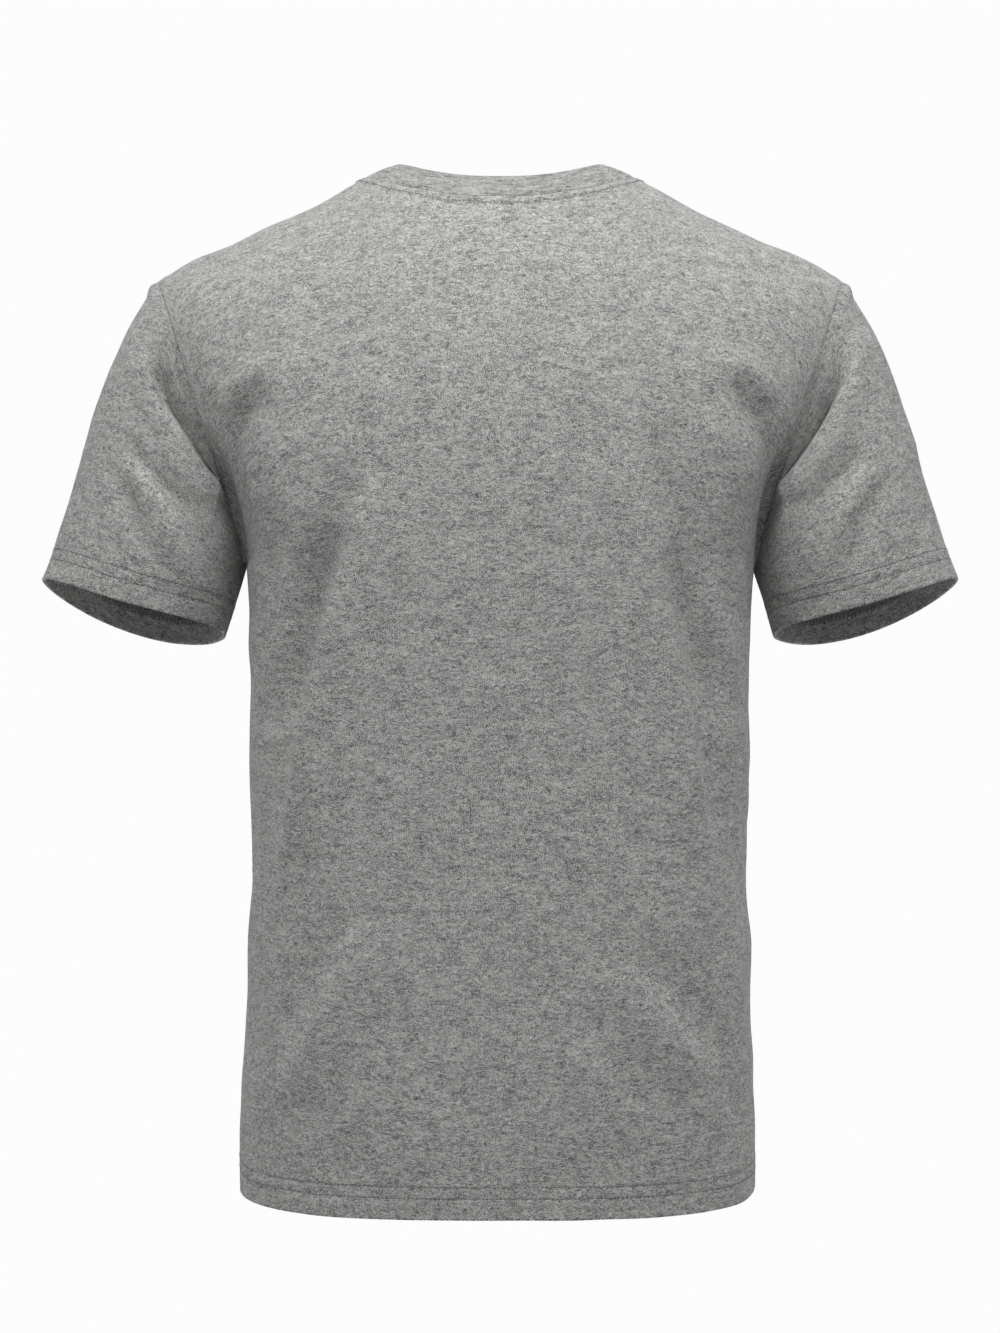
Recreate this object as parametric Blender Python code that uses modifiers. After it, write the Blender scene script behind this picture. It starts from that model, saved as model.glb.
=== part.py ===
"""A crew neck t-shirt in jersey, filled out as it hangs on a wearer, with no wearer inside.

Metres, +Z up. The front faces -Y and the wearer's left is +X. The origin is midway between the two
high shoulder points, where the shirt rests on its wearer. Each object is one cut and sewn piece: the
back, the front, two sleeves and the rib neckband. Each is a thin wall, and neighbours stop a hair
apart where a seam joins them.
"""

import bmesh
import bpy
import numpy as np

# Cloth
JERSEY = 0.0012           # one layer
DOUBLED = 0.0024          # where a hem or a seam allowance is turned in
RIB = 0.0024              # the neckband is folded double
SEAM_GAP = 0.0003         # between two pieces at a seam

# Neck: the seam that joins the neckband, and the folded edge at the neckband's top
NECK_HALF = 0.0942
NECK_DROP_BACK = 0.0195
NECK_DROP_FRONT = 0.095
NECK_POWER_BACK = 2.4     # how long the back neckline stays level
NECK_POWER_FRONT = 2.2    # 2 is a half ellipse, and more is squarer
BAND_TOP_HALF = 0.0705
BAND_TOP_SIDE_Z = 0.0100
BAND_TOP_BACK_Z = -0.0035
BAND_TOP_FRONT_Z = -0.0735
BAND_LEAN_BACK = 0.72     # depth of the band's top over the depth of its seam
BAND_LEAN_FRONT = 0.92
BAND_BULGE = 0.0010

# Shoulder and armhole
SHOULDER = (0.2371, -0.0712)      # x and z of the shoulder point
UNDERARM = (0.1762, -0.2680)      # x and z of the underarm point
RIDGE = (                         # the line of the shoulder seam, and its run on under the neck
    # x       z
    (0.0000, 0.0160),
    (0.0500, 0.0115),
    (0.0942, 0.0000),
    (0.1206, -0.0146),
    (0.1741, -0.0400),
    (0.2214, -0.0612),
    (0.2371, -0.0712),
)

# Body: half widths and depths of the level sections, from the hem up
HEM_CENTRE_Z = -0.7050
HEM_SIDE_Z = -0.6935
HEM_POWER = 3.5                   # how far the hem stays level before it rises to the sides
HEM_DEPTH = 0.022
SECTION_POWER = 2.75              # 2 is an ellipse, and more has fuller corners
SECTIONS = (
    # z       left    right   back    front
    (-0.7050, 0.1800, 0.1764, 0.1200, 0.1240),
    (-0.6600, 0.1792, 0.1758, 0.1190, 0.1235),
    (-0.6180, 0.1780, 0.1748, 0.1175, 0.1225),
    (-0.5630, 0.1757, 0.1741, 0.1150, 0.1210),
    (-0.5200, 0.1732, 0.1733, 0.1135, 0.1205),
    (-0.4800, 0.1716, 0.1716, 0.1125, 0.1205),
    (-0.4100, 0.1732, 0.1731, 0.1130, 0.1230),
    (-0.3300, 0.1734, 0.1734, 0.1160, 0.1270),
    (-0.2680, 0.1762, 0.1762, 0.1190, 0.1290),
    (-0.2000, 0.2000, 0.2000, 0.1195, 0.1270),
    (-0.1000, 0.2400, 0.2400, 0.1150, 0.1200),
    (-0.0500, 0.2400, 0.2400, 0.1110, 0.1150),
    (0.0200, 0.2400, 0.2400, 0.1040, 0.1100),
)

# Each face of the body: which way it looks, how far below the shoulder line it takes to reach full
# depth, how round it is on the way, and the half width and scoop of its half of the armhole
BACK = dict(way=1, depth_column=3, reach=0.20, power=2.2, armhole_half=0.058, scoop=0.0035)
FRONT = dict(way=-1, depth_column=4, reach=0.27, power=1.85, armhole_half=0.054, scoop=0.0090)

# Cuff: the ring at the foot of a sleeve
CUFF_OUTER = (0.3178, -0.2794)    # x and z
CUFF_INNER = (0.1909, -0.3162)
CUFF_HALF_DEPTH = 0.0560
CUFF_POWER = 2.1
CUFF_TILT = 0.200                 # rise towards the back
CUFF_SAG = 0.0080                 # the back and front hang below the line between the ends
CUFF_HEM_DEPTH = 0.022
CAP_BULGE = 0.0095                # roundness of the sleeve head over the shoulder
CAP_WAY = (0.93, 0.0, 0.36)       # the way the head bulges
CAP_FADE = 2.2                    # more moves the bulge towards the shoulder
CAP_SCALE = (1 + CAP_FADE) ** (1 + CAP_FADE) / CAP_FADE**CAP_FADE
SLEEVE_BULGE = 0.0040             # fullness of the sleeve's back and front

# The deep fold behind each sleeve: the crest of its roll, from near the sleeve head down to where it
# meets the armhole seam, and how far the cloth drops away between the crest and the seam
SLEEVE_FOLD = (
    # z       crest x  drop
    (-0.2270, 0.1872, 0.0000),
    (-0.2156, 0.1943, 0.0035),
    (-0.1986, 0.2090, 0.0075),
    (-0.1732, 0.2260, 0.0080),
    (-0.1538, 0.2357, 0.0050),
    (-0.1274, 0.2465, 0.0015),
    (-0.1000, 0.2530, 0.0000),
)
FOLD_FROM = 0.05          # share of the sleeve's length at which the fold is free of the seam
FOLD_CREST = 0.0025
FOLD_CREST_WIDTH = 0.011

# The largest folds of the body: a ridge (or, with a height below 0, a trough) along a line through
# three places on its face. Lengths, heights and spacing are uneven, as cloth hangs.
BODY_FOLDS = (
    # face     start x, z          middle x, z         end x, z            width   height
    ("back", (0.0831, -0.2069), (0.1157, -0.3190), (0.1464, -0.4838), 0.0130, 0.0035),
    ("back", (-0.0870, -0.1736), (-0.1150, -0.3300), (-0.1471, -0.5338), 0.0140, 0.0032),
    ("back", (0.0897, -0.5071), (0.1131, -0.5604), (0.1400, -0.6300), 0.0150, 0.0030),
    ("back", (-0.0817, -0.5338), (-0.1037, -0.5705), (-0.1420, -0.6150), 0.0150, 0.0028),
    ("back", (0.1584, -0.1549), (0.1815, -0.1949), (0.1698, -0.2670), 0.0110, -0.0035),
    ("back", (-0.1571, -0.1502), (-0.1838, -0.1936), (-0.1760, -0.2600), 0.0110, -0.0030),
    ("front", (0.0700, -0.2300), (0.1050, -0.3400), (0.1350, -0.5000), 0.0150, 0.0030),
    ("front", (-0.0800, -0.2000), (-0.1080, -0.3300), (-0.1300, -0.4700), 0.0140, 0.0034),
    ("front", (-0.0500, -0.5000), (-0.0850, -0.5600), (-0.1200, -0.6300), 0.0160, 0.0028),
)
FOLD_SAMPLES = 25
HEM_FOLD_SHARE = 0.4      # the stitched hem holds its edge flatter

# Grids
NECK_COLUMNS = 7          # from the centre to the high shoulder point
BACK_SHOULDER_COLUMNS = 11
FRONT_SHOULDER_COLUMNS = 8
NECK_SHARE = 0.40         # of the half girth, at the column under the high shoulder point
BACK_LOWER_ROWS = 9       # from the top of the hem to the underarm
FRONT_LOWER_ROWS = 7
BACK_UPPER_ROWS = 15      # from the underarm to the shoulder
FRONT_UPPER_ROWS = 12
SLEEVE_RINGS = (0.0, 0.018, 0.07, 0.14, 0.22, 0.32, 0.44, 0.58, 0.72, 0.86, 1.0)   # to the cuff's hem
CURVE_STEPS = 240
COLUMN_STEPS = 81
SEAM_ROW = 0.008          # share of a column's length that a narrow last row takes at the shoulder

JERSEY_GREY = (0.255, 0.253, 0.249, 1.0)
RIB_GREY = (0.330, 0.328, 0.323, 1.0)
CLOTH_ROUGHNESS = 0.95


def smooth(at, keys, values):
    """A smooth curve through values at rising keys, level beyond its ends."""
    keys, values = np.array(keys), np.array(values)
    slopes = np.gradient(values, keys)
    i = np.clip(np.searchsorted(keys, at) - 1, 0, len(keys) - 2)
    step = keys[i + 1] - keys[i]
    u = np.clip((at - keys[i]) / step, 0.0, 1.0)
    rising = values[i] * (1 + 2 * u) * (1 - u) ** 2 + values[i + 1] * u**2 * (3 - 2 * u)
    return rising + step * (slopes[i] * u * (1 - u) ** 2 - slopes[i + 1] * u**2 * (1 - u))


def column(table, n):
    return [row[n] for row in table]


def super_root(base, power):
    """The second half of a superellipse's formula: 1 at base 0, and 0 at base 1."""
    return (1 - np.clip(base, 0.0, 1.0) ** power) ** (1 / power)


def along(points, shares):
    """Places on the line through points, at shares of its length."""
    points = np.asarray(points)
    steps = np.linalg.norm(np.diff(points, axis=0), axis=1)
    run = np.concatenate([[0.0], np.cumsum(steps)])
    return np.stack([np.interp(np.asarray(shares) * run[-1], run, axis) for axis in points.T], axis=1)


def shoulder_line(x):
    return smooth(np.abs(x), column(RIDGE, 0), column(RIDGE, 1))


def rise(x, z, face):
    """Share of the full depth that a face has reached at x and z, by its drop below the shoulder."""
    drop = np.maximum(shoulder_line(x) - z, 0.0) / face["reach"]
    return super_root(1 - np.minimum(drop, 1.0), face["power"])


def full_depth(z, face):
    return smooth(z, column(SECTIONS, 0), column(SECTIONS, face["depth_column"]))


def armhole(turn, face):
    """The armhole seam from the shoulder point (turn 0) to the underarm (turn 1)."""
    down = np.cos(np.pi * np.asarray(turn))
    x = (SHOULDER[0] + UNDERARM[0]) / 2 + down * (SHOULDER[0] - UNDERARM[0]) / 2
    x = x - face["scoop"] * np.sin(np.pi * np.asarray(turn))
    z = (SHOULDER[1] + UNDERARM[1]) / 2 + down * (SHOULDER[1] - UNDERARM[1]) / 2
    y = face["armhole_half"] * super_root(np.abs(down), face["power"])
    return np.stack([x, y, z], axis=-1)


def half_width(z, side, face):
    """Half the width of the level section at z. Above the underarm it is what makes the section pass
    through the armhole seam."""
    below = smooth(z, column(SECTIONS, 0), column(SECTIONS, 1 if side > 0 else 2))
    seam = armhole(np.linspace(0.999, 0.001, CURVE_STEPS), face)
    share = seam[:, 1] / (full_depth(seam[:, 2], face) * rise(seam[:, 0], seam[:, 2], face))
    above = seam[:, 0] / super_root(share, SECTION_POWER)
    return np.where(z <= UNDERARM[1], below, np.interp(z, seam[:, 2], above))


def depth(x, z, side, face):
    """How far the face lies from the side seams' plane, at x and z."""
    across = super_root(np.abs(x) / half_width(z, side, face), SECTION_POWER)
    return full_depth(z, face) * across * rise(x, z, face)


def section(z, side, face, shares):
    """The level section at z from the centre to the side seam: points at shares of its length, each
    as a share of the half width."""
    angle = np.linspace(0, np.pi / 2, CURVE_STEPS)
    level = np.full(CURVE_STEPS, z)
    width = half_width(level, side, face)
    x = width * np.sin(angle) ** (2 / SECTION_POWER)
    points = np.stack([x, depth(x, level, side, face)], axis=1)
    return along(points, shares)[:, 0] / width[0]


def neckline(side, face):
    """The neck seam from the centre to the high shoulder point."""
    angle = np.linspace(0, np.pi / 2, CURVE_STEPS)
    if face is BACK:
        x = NECK_HALF * np.sin(angle)
        z = -NECK_DROP_BACK * (1 - (x / NECK_HALF) ** NECK_POWER_BACK)
    else:
        x = NECK_HALF * np.sin(angle) ** (2 / NECK_POWER_FRONT)
        z = -NECK_DROP_FRONT * np.cos(angle) ** (2 / NECK_POWER_FRONT)
    return np.stack([x, depth(x, z, side, face), z], axis=1)


def top_edge(side, face, shoulder_columns):
    """The panel's top edge in x and z: the neckline, then the shoulder seam."""
    shoulder_steps = np.linspace(0, 1, shoulder_columns + 1)[1:]
    ridge_x = np.linspace(NECK_HALF, SHOULDER[0], CURVE_STEPS)
    ridge = along(np.stack([ridge_x, shoulder_line(ridge_x)], axis=1), shoulder_steps)
    neck = along(neckline(side, face), np.linspace(0, 1, NECK_COLUMNS + 1))
    return np.concatenate([neck[:, [0, 2]], ridge])


def lower_body(side, face, shares, row_count):
    """Rows from the hem to the underarm: the hem's own row, then even ones."""
    hem_z = HEM_CENTRE_Z + (HEM_SIDE_Z - HEM_CENTRE_Z) * shares**HEM_POWER
    hem_top = hem_z + HEM_DEPTH
    levels = np.linspace(0, 1, row_count + 1)[:, None]
    z = np.vstack([hem_z, hem_top + (UNDERARM[1] - hem_top) * levels])
    x = np.array([section(row.mean(), side, face, shares) for row in z]) * half_width(z, side, face)
    points = np.stack([x, depth(x, z, side, face), z], axis=-1)
    points[:, -1, 1] = 0.0
    return points


def upper_body(side, face, shares, row_count, bottom, top):
    """Rows from above the underarm to the top edge. A flat patch is stretched between the underarm
    row, the armhole seam, the top edge and the centre line, and then takes the body's depth."""
    climb = 1 - (1 - np.linspace(0, 1, COLUMN_STEPS)[:, None, None]) ** 2
    s = shares[:, None]
    seam = armhole(1 - climb[:, :, 0], face)
    between = (1 - climb) * bottom + climb * top
    centre = between[:, :1]
    patch = (1 - s) * centre + s * seam[..., [0, 2]]
    corners = (1 - s) * centre + s * between[:, -1:]
    flat = between + patch - corners
    y = depth(flat[..., 0], flat[..., 1], side, face)
    points = np.stack([flat[..., 0], y, flat[..., 1]], axis=-1)
    points[:, -1] = seam[:, 0]
    points[-1, NECK_COLUMNS:, 1] = 0.0
    row_shares = np.append(np.linspace(0, 1 - SEAM_ROW, row_count)[1:], 1.0)
    return np.stack([along(points[:, c], row_shares) for c in range(len(shares))], axis=1)


def half_panel(side, face, shoulder_columns, lower_rows, upper_rows):
    """Rows from the hem up, of points from the centre to the side seam and the armhole."""
    neck_shares = NECK_SHARE * np.linspace(0, 1, NECK_COLUMNS + 1)
    side_shares = NECK_SHARE + (1 - NECK_SHARE) * np.linspace(0, 1, shoulder_columns + 1)[1:]
    shares = np.concatenate([neck_shares, side_shares])
    lower = lower_body(side, face, shares, lower_rows)
    top = top_edge(side, face, shoulder_columns)
    upper = upper_body(side, face, shares, upper_rows, lower[-1][:, [0, 2]], top)
    half = np.concatenate([lower, upper])
    half[..., 1] = face["way"] * (half[..., 1] + SEAM_GAP / 2)
    return half * (side, 1, 1)


def panel(name, face, shoulder_columns, lower_rows, upper_rows):
    """The whole panel, its columns running from the wearer's right to the left."""
    size = (shoulder_columns, lower_rows, upper_rows)
    right, left = half_panel(-1, face, *size), half_panel(1, face, *size)
    points = np.concatenate([right[:, :0:-1], left], axis=1)
    return points + fold_heights(name, points)[..., None] * normals_of(points, face["way"])


def normals_of(points, way):
    across, up = np.gradient(points, axis=1), np.gradient(points, axis=0)
    normals = way * np.cross(up, across)
    return normals / np.linalg.norm(normals, axis=-1, keepdims=True)


def fold_heights(name, points):
    """How far the largest folds move each point of a panel, outwards."""
    total = np.zeros(points.shape[:2])
    t = np.linspace(0, 1, FOLD_SAMPLES)
    fade = 1 - np.abs(2 * t - 1) ** 3
    for face_name, start, middle, end, width, height in BODY_FOLDS:
        if face_name != name:
            continue
        x = smooth(t, (0.0, 0.5, 1.0), (start[0], middle[0], end[0]))
        z = smooth(t, (0.0, 0.5, 1.0), (start[1], middle[1], end[1]))
        distance = np.hypot(points[..., 0, None] - x, points[..., 2, None] - z)
        total += height * (fade * np.exp(-((distance / width) ** 2))).max(axis=-1)
    total[0] *= HEM_FOLD_SHARE
    total[-1] = total[:, 0] = total[:, -1] = 0.0
    return total


def armhole_edge(side, back, front):
    """A sleeve's seam as a ring of panel points: shoulder, back, underarm, front. With each come the
    direction in which the panel's cloth runs off its edge, and the turn round the armhole."""
    edge, inner = (-1, -2) if side > 0 else (0, 1)
    back_rows = slice(None, -BACK_UPPER_ROWS - 2, -1)
    front_rows = slice(-FRONT_UPPER_ROWS, -1)
    ring = np.concatenate([back[back_rows, edge], front[front_rows, edge]])
    inside = np.concatenate([back[back_rows, inner], front[front_rows, inner]])
    ring[[0, BACK_UPPER_ROWS], 1] = 0.0
    run_off = ring - inside
    run_off[[0, BACK_UPPER_ROWS], 1] = 0.0
    run_off /= np.linalg.norm(run_off, axis=1, keepdims=True)
    middle, half = (SHOULDER[1] + UNDERARM[1]) / 2, (SHOULDER[1] - UNDERARM[1]) / 2
    down = np.clip((ring[:, 2] - middle) / half, -1.0, 1.0)
    return ring * (side, 1, 1), run_off * (side, 1, 1), down


def sleeve(side, back, front):
    """Rings from the armhole to the cuff, each starting at the shoulder and passing the back, the
    underarm and the front. They start at the panels' own armhole points, a seam's gap away."""
    head, run_off, down = armhole_edge(side, back, front)
    way = np.where(np.arange(len(head)) <= BACK_UPPER_ROWS, 1, -1)
    outer, inner = np.array(CUFF_OUTER), np.array(CUFF_INNER)
    foot = (outer + inner) / 2 + down[:, None] * (outer - inner) / 2
    foot_y = way * CUFF_HALF_DEPTH * super_root(np.abs(down), CUFF_POWER)
    foot_z = foot[:, 1] + CUFF_TILT * foot_y - CUFF_SAG * (1 - down**2)
    foot = np.stack([foot[:, 0], foot_y, foot_z], axis=1)
    hem_share = CUFF_HEM_DEPTH / np.linalg.norm(foot - head, axis=1)
    rings = []
    for w in [share * (1 - hem_share) for share in SLEEVE_RINGS] + [np.ones(len(head))]:
        ring = (1 - w[:, None]) * head + w[:, None] * foot
        cap = CAP_BULGE * CAP_SCALE * w * (1 - w) ** CAP_FADE * np.maximum(down, 0.0) ** 1.5
        full = SLEEVE_BULGE * np.sin(np.pi * w) * (1 - down**2) * way
        ring = ring + cap[:, None] * CAP_WAY
        ring[:, 1] += full - sleeve_fold(ring) * (way > 0) * np.minimum(1.0, w / FOLD_FROM)
        rings.append(ring)
    rings = np.array(rings)
    lead = rings[1] - rings[0]
    length = np.linalg.norm(lead, axis=1, keepdims=True)
    follow = np.clip((lead * run_off).sum(axis=1, keepdims=True) / length, 0.0, 1.0)
    rings[1] += (run_off * length - lead) * follow
    rings[0] += SEAM_GAP * (rings[1] - rings[0]) / length
    return rings * (side, 1, 1)


def sleeve_fold(points):
    """How far the cloth behind the sleeve drops in beside the roll of its deep fold."""
    x, z = points[:, 0], points[:, 2]
    keys = column(SLEEVE_FOLD, 0)
    crest = smooth(z, keys, column(SLEEVE_FOLD, 1))
    drop = smooth(z, keys, column(SLEEVE_FOLD, 2))
    seam = armhole(np.linspace(1, 0, CURVE_STEPS), BACK)
    room = np.maximum(crest - np.interp(z, seam[:, 2], seam[:, 0]), 0.001)
    u = (crest - x) / room
    trough = np.clip(u / 0.25, 0.0, 1.0) * np.clip((1 - u) / 0.75, 0.0, 1.0) ** 0.8
    roll = np.exp(-(((x - crest) / FOLD_CREST_WIDTH) ** 2)) * np.clip(drop / 0.004, 0.0, 1.0)
    return drop * trough - FOLD_CREST * roll * (u < 0)


def neckband(back, front):
    """A ring of sections round the neck: the folded rib strip, from its seam to its folded edge."""
    middle_back, middle_front = back.shape[1] // 2, front.shape[1] // 2
    behind_neck = slice(middle_back - NECK_COLUMNS, middle_back + NECK_COLUMNS + 1)
    before_neck = slice(middle_front + NECK_COLUMNS - 1, middle_front - NECK_COLUMNS, -1)
    foot = np.concatenate([back[-1, behind_neck], front[-1, before_neck]])
    foot_out = np.concatenate([normals_of(back, 1)[-1, behind_neck], normals_of(front, -1)[-1, before_neck]])
    foot[[0, 2 * NECK_COLUMNS], 1] = 0.0
    foot_out[[0, 2 * NECK_COLUMNS], 1] = 0.0
    foot_out /= np.linalg.norm(foot_out, axis=1, keepdims=True)
    side_share = np.abs(foot[:, 0]) / NECK_HALF
    behind = foot[:, 1] >= 0
    level = np.where(behind, BAND_TOP_BACK_Z, BAND_TOP_FRONT_Z)
    round_power = np.where(behind, NECK_POWER_BACK, NECK_POWER_FRONT)
    droop = np.where(behind, 1 - side_share**round_power, super_root(side_share, NECK_POWER_FRONT))
    top_z = BAND_TOP_SIDE_Z + (level - BAND_TOP_SIDE_Z) * droop
    lean = np.where(behind, BAND_LEAN_BACK, BAND_LEAN_FRONT)
    top = np.stack([foot[:, 0] * BAND_TOP_HALF / NECK_HALF, foot[:, 1] * lean, top_z], axis=1)
    rise_way = top - foot
    rise_way /= np.linalg.norm(rise_way, axis=1, keepdims=True)
    around = np.roll(top, -1, axis=0) - np.roll(top, 1, axis=0)
    own_out = np.cross(rise_way, around)
    own_out /= np.linalg.norm(own_out, axis=1, keepdims=True)
    start = foot + rise_way * SEAM_GAP
    outer_face, inner_face = [], []
    for t in (0.0, 0.3, 0.6, 0.88):
        out = foot_out * (1 - t) + own_out * t
        out /= np.linalg.norm(out, axis=1, keepdims=True)
        place = start + (top - start) * t + own_out * BAND_BULGE * np.sin(np.pi * t)
        outer_face.append(place)
        inner_face.append(place - out * RIB)
    crest = top - own_out * RIB / 2
    return np.array(outer_face + [crest] + inner_face[::-1])


def grid_object(name, points, colour, closed_across=False, closed_up=False, flip=False):
    """A grid of points as one object in the shirt's collection."""
    if flip:
        points = points[:, ::-1]
    rows, columns = points.shape[:2]
    build = bmesh.new()
    verts = [[build.verts.new(point) for point in row] for row in points]
    for r in range(rows if closed_up else rows - 1):
        for c in range(columns if closed_across else columns - 1):
            above, beside = (r + 1) % rows, (c + 1) % columns
            build.faces.new((verts[r][c], verts[r][beside], verts[above][beside], verts[above][c]))
    mesh = bpy.data.meshes.new(name)
    build.to_mesh(mesh)
    build.free()
    mesh.materials.append(cloth(name, colour))
    mesh.shade_smooth()
    made = bpy.data.objects.new(name, mesh)
    collection.objects.link(made)
    return made


def wall(made, doubled_rows, row_length):
    """Gives an open sheet its thickness, inwards. The given rows are doubled by their turned-in hem."""
    group = made.vertex_groups.new(name="cloth")
    doubled = {row * row_length + i for row in doubled_rows for i in range(row_length)}
    single = [i for i in range(len(made.data.vertices)) if i not in doubled]
    group.add(sorted(doubled), 1.0, "REPLACE")
    group.add(single, JERSEY / DOUBLED, "REPLACE")
    thick = made.modifiers.new("wall", "SOLIDIFY")
    thick.thickness = DOUBLED
    thick.offset = -1.0
    thick.vertex_group = group.name


def cloth(name, colour):
    material = bpy.data.materials.new(name)
    material.use_nodes = True
    shader = material.node_tree.nodes["Principled BSDF"]
    shader.inputs["Base Color"].default_value = colour
    shader.inputs["Roughness"].default_value = CLOTH_ROUGHNESS
    shader.inputs["Metallic"].default_value = 0.0
    return material


for old in list(bpy.data.objects):
    bpy.data.objects.remove(old)
collection = bpy.data.collections.new("crew_neck_t_shirt")
bpy.context.scene.collection.children.link(collection)

back_points = panel("back", BACK, BACK_SHOULDER_COLUMNS, BACK_LOWER_ROWS, BACK_UPPER_ROWS)
front_points = panel("front", FRONT, FRONT_SHOULDER_COLUMNS, FRONT_LOWER_ROWS, FRONT_UPPER_ROWS)
hem_rows = (0, 1)
wall(grid_object("back", back_points, JERSEY_GREY, flip=True), hem_rows, back_points.shape[1])
wall(grid_object("front", front_points, JERSEY_GREY), hem_rows, front_points.shape[1])

cuff_rows = (len(SLEEVE_RINGS) - 1, len(SLEEVE_RINGS))
for name, side in (("sleeve_left", 1), ("sleeve_right", -1)):
    rings = sleeve(side, back_points, front_points)
    made = grid_object(name, rings, JERSEY_GREY, closed_across=True, flip=side > 0)
    wall(made, cuff_rows, rings.shape[1])

band = neckband(back_points, front_points)
grid_object("neckband", band, RIB_GREY, closed_across=True, closed_up=True, flip=True)
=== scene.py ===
# %% [markdown]
# # A crew neck t-shirt in heather grey jersey
#
# The shirt is sewn from five cut pieces: a back, a front, two sleeves and a folded rib neckband. It
# keeps the filled-out shape that it has on a wearer, but nobody is inside, so the neck, the cuffs
# and the hem are open and some of the inside shows.
#
# Each piece starts as a grid of points that a few sizes and formulas give. The grid gets its folds
# and seams, and is then closed into a thin wall. Thread and the knitted surface come last. The
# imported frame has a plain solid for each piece: the fine pieces follow those solids and stand for
# them.

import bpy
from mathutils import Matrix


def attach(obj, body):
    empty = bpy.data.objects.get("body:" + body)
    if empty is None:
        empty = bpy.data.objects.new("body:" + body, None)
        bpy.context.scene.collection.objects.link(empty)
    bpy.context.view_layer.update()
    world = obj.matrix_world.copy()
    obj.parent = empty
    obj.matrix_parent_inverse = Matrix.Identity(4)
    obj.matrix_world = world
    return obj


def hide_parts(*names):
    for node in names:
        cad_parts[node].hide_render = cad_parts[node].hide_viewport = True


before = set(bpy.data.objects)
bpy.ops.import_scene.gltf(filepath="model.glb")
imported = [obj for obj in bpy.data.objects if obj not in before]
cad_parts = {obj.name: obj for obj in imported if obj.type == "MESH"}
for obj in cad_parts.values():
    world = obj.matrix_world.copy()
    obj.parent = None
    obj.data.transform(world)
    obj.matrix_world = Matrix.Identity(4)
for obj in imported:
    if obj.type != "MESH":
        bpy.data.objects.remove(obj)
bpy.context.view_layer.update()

# %% [markdown]
# ## Tools for curves
#
# Every outline here is a short table of places with a smooth curve through them, or a superellipse,
# which is an ellipse with fuller corners. Both are quick to compute for whole grids with numpy, and
# they need far fewer numbers than a traced outline would.

# %% Smooth curves, superellipses and even spacing
import math

import bpy
import numpy as np
from mathutils import Vector
from mathutils.bvhtree import BVHTree

CURVE_STEPS = 400


def smooth(at, keys, values):
    """A smooth curve through values at rising keys, level beyond its ends."""
    keys, values = np.array(keys), np.array(values)
    slopes = np.gradient(values, keys)
    i = np.clip(np.searchsorted(keys, at) - 1, 0, len(keys) - 2)
    step = keys[i + 1] - keys[i]
    u = np.clip((at - keys[i]) / step, 0.0, 1.0)
    rising = values[i] * (1 + 2 * u) * (1 - u) ** 2 + values[i + 1] * u**2 * (3 - 2 * u)
    return rising + step * (slopes[i] * u * (1 - u) ** 2 - slopes[i + 1] * u**2 * (1 - u))


def fade(distance, start, end):
    """1 up to start, 0 from end, and a soft step between."""
    u = np.clip((np.asarray(distance) - start) / (end - start), 0.0, 1.0)
    return 1 - u * u * (3 - 2 * u)


def column(table, n):
    return [row[n] for row in table]


def super_root(base, power):
    """The second half of a superellipse's formula: 1 at base 0, and 0 at base 1."""
    return (1 - np.clip(base, 0.0, 1.0) ** power) ** (1 / power)


def unit(vectors):
    return vectors / np.linalg.norm(vectors, axis=-1, keepdims=True)


def run_of(points, axis=0):
    """Length along a line of points, or along every line of a grid, starting at 0."""
    steps = np.linalg.norm(np.diff(points, axis=axis), axis=-1)
    start = np.zeros_like(np.take(steps, [0], axis=axis))
    return np.concatenate([start, np.cumsum(steps, axis=axis)], axis=axis)


def run_back(points, axis=0):
    """The same length, but measured from the other end."""
    return np.flip(run_of(np.flip(points, axis), axis), axis)


def read_off(at, keys, rows):
    """What rows of values, one for each of the rising keys, are at other keys."""
    return np.stack([np.interp(at, keys, values) for values in rows.T], axis=1)


def along(points, shares):
    """Places on the line through points, at shares of its length."""
    run = run_of(points)
    return read_off(np.asarray(shares) * run[-1], run, points)


def closed(line):
    """A line that comes back to its first row."""
    return np.concatenate([line, line[:1]])


# %% [markdown]
# ## The body's form
#
# A shirt on a wearer is level rings from the hem to the underarm, which then close over the
# shoulders. So each face of the body is given as a depth: how far the cloth stands from the plane of
# the side seams at a width x and a height z. Below the underarm the depth comes from the ring's
# superellipse. Near the shoulder line it falls to nothing, and there the back and front meet.

# %% Sizes of the body
SEAM_GAP = 0.00006                # between two pieces at a seam
NECK_HALF = 0.0942                # half the width of the neck seam
NECK_DROP_BACK = 0.0195
NECK_DROP_FRONT = 0.095
NECK_POWER_BACK = 2.4             # how long the back neckline stays level
NECK_POWER_FRONT = 2.2            # 2 is a half ellipse, and more is squarer
SHOULDER = (0.2371, -0.0712)      # x and z of the shoulder point
UNDERARM = (0.1762, -0.2680)      # x and z of the underarm point
RIDGE = (                         # the line of the shoulder seam, and its run on under the neck
    # x       z
    (0.0000, 0.0160),
    (0.0500, 0.0115),
    (0.0942, 0.0000),
    (0.1206, -0.0146),
    (0.1741, -0.0400),
    (0.2214, -0.0612),
    (0.2371, -0.0712),
)
HEM_CENTRE_Z = -0.7050
HEM_SIDE_Z = -0.6935
HEM_POWER = 3.5                   # how far the hem stays level before it rises to the sides
SECTION_POWER = 2.75
ARMHOLE_STEPS = 240               # places along the armhole seam that the upper rings are fitted to
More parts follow.
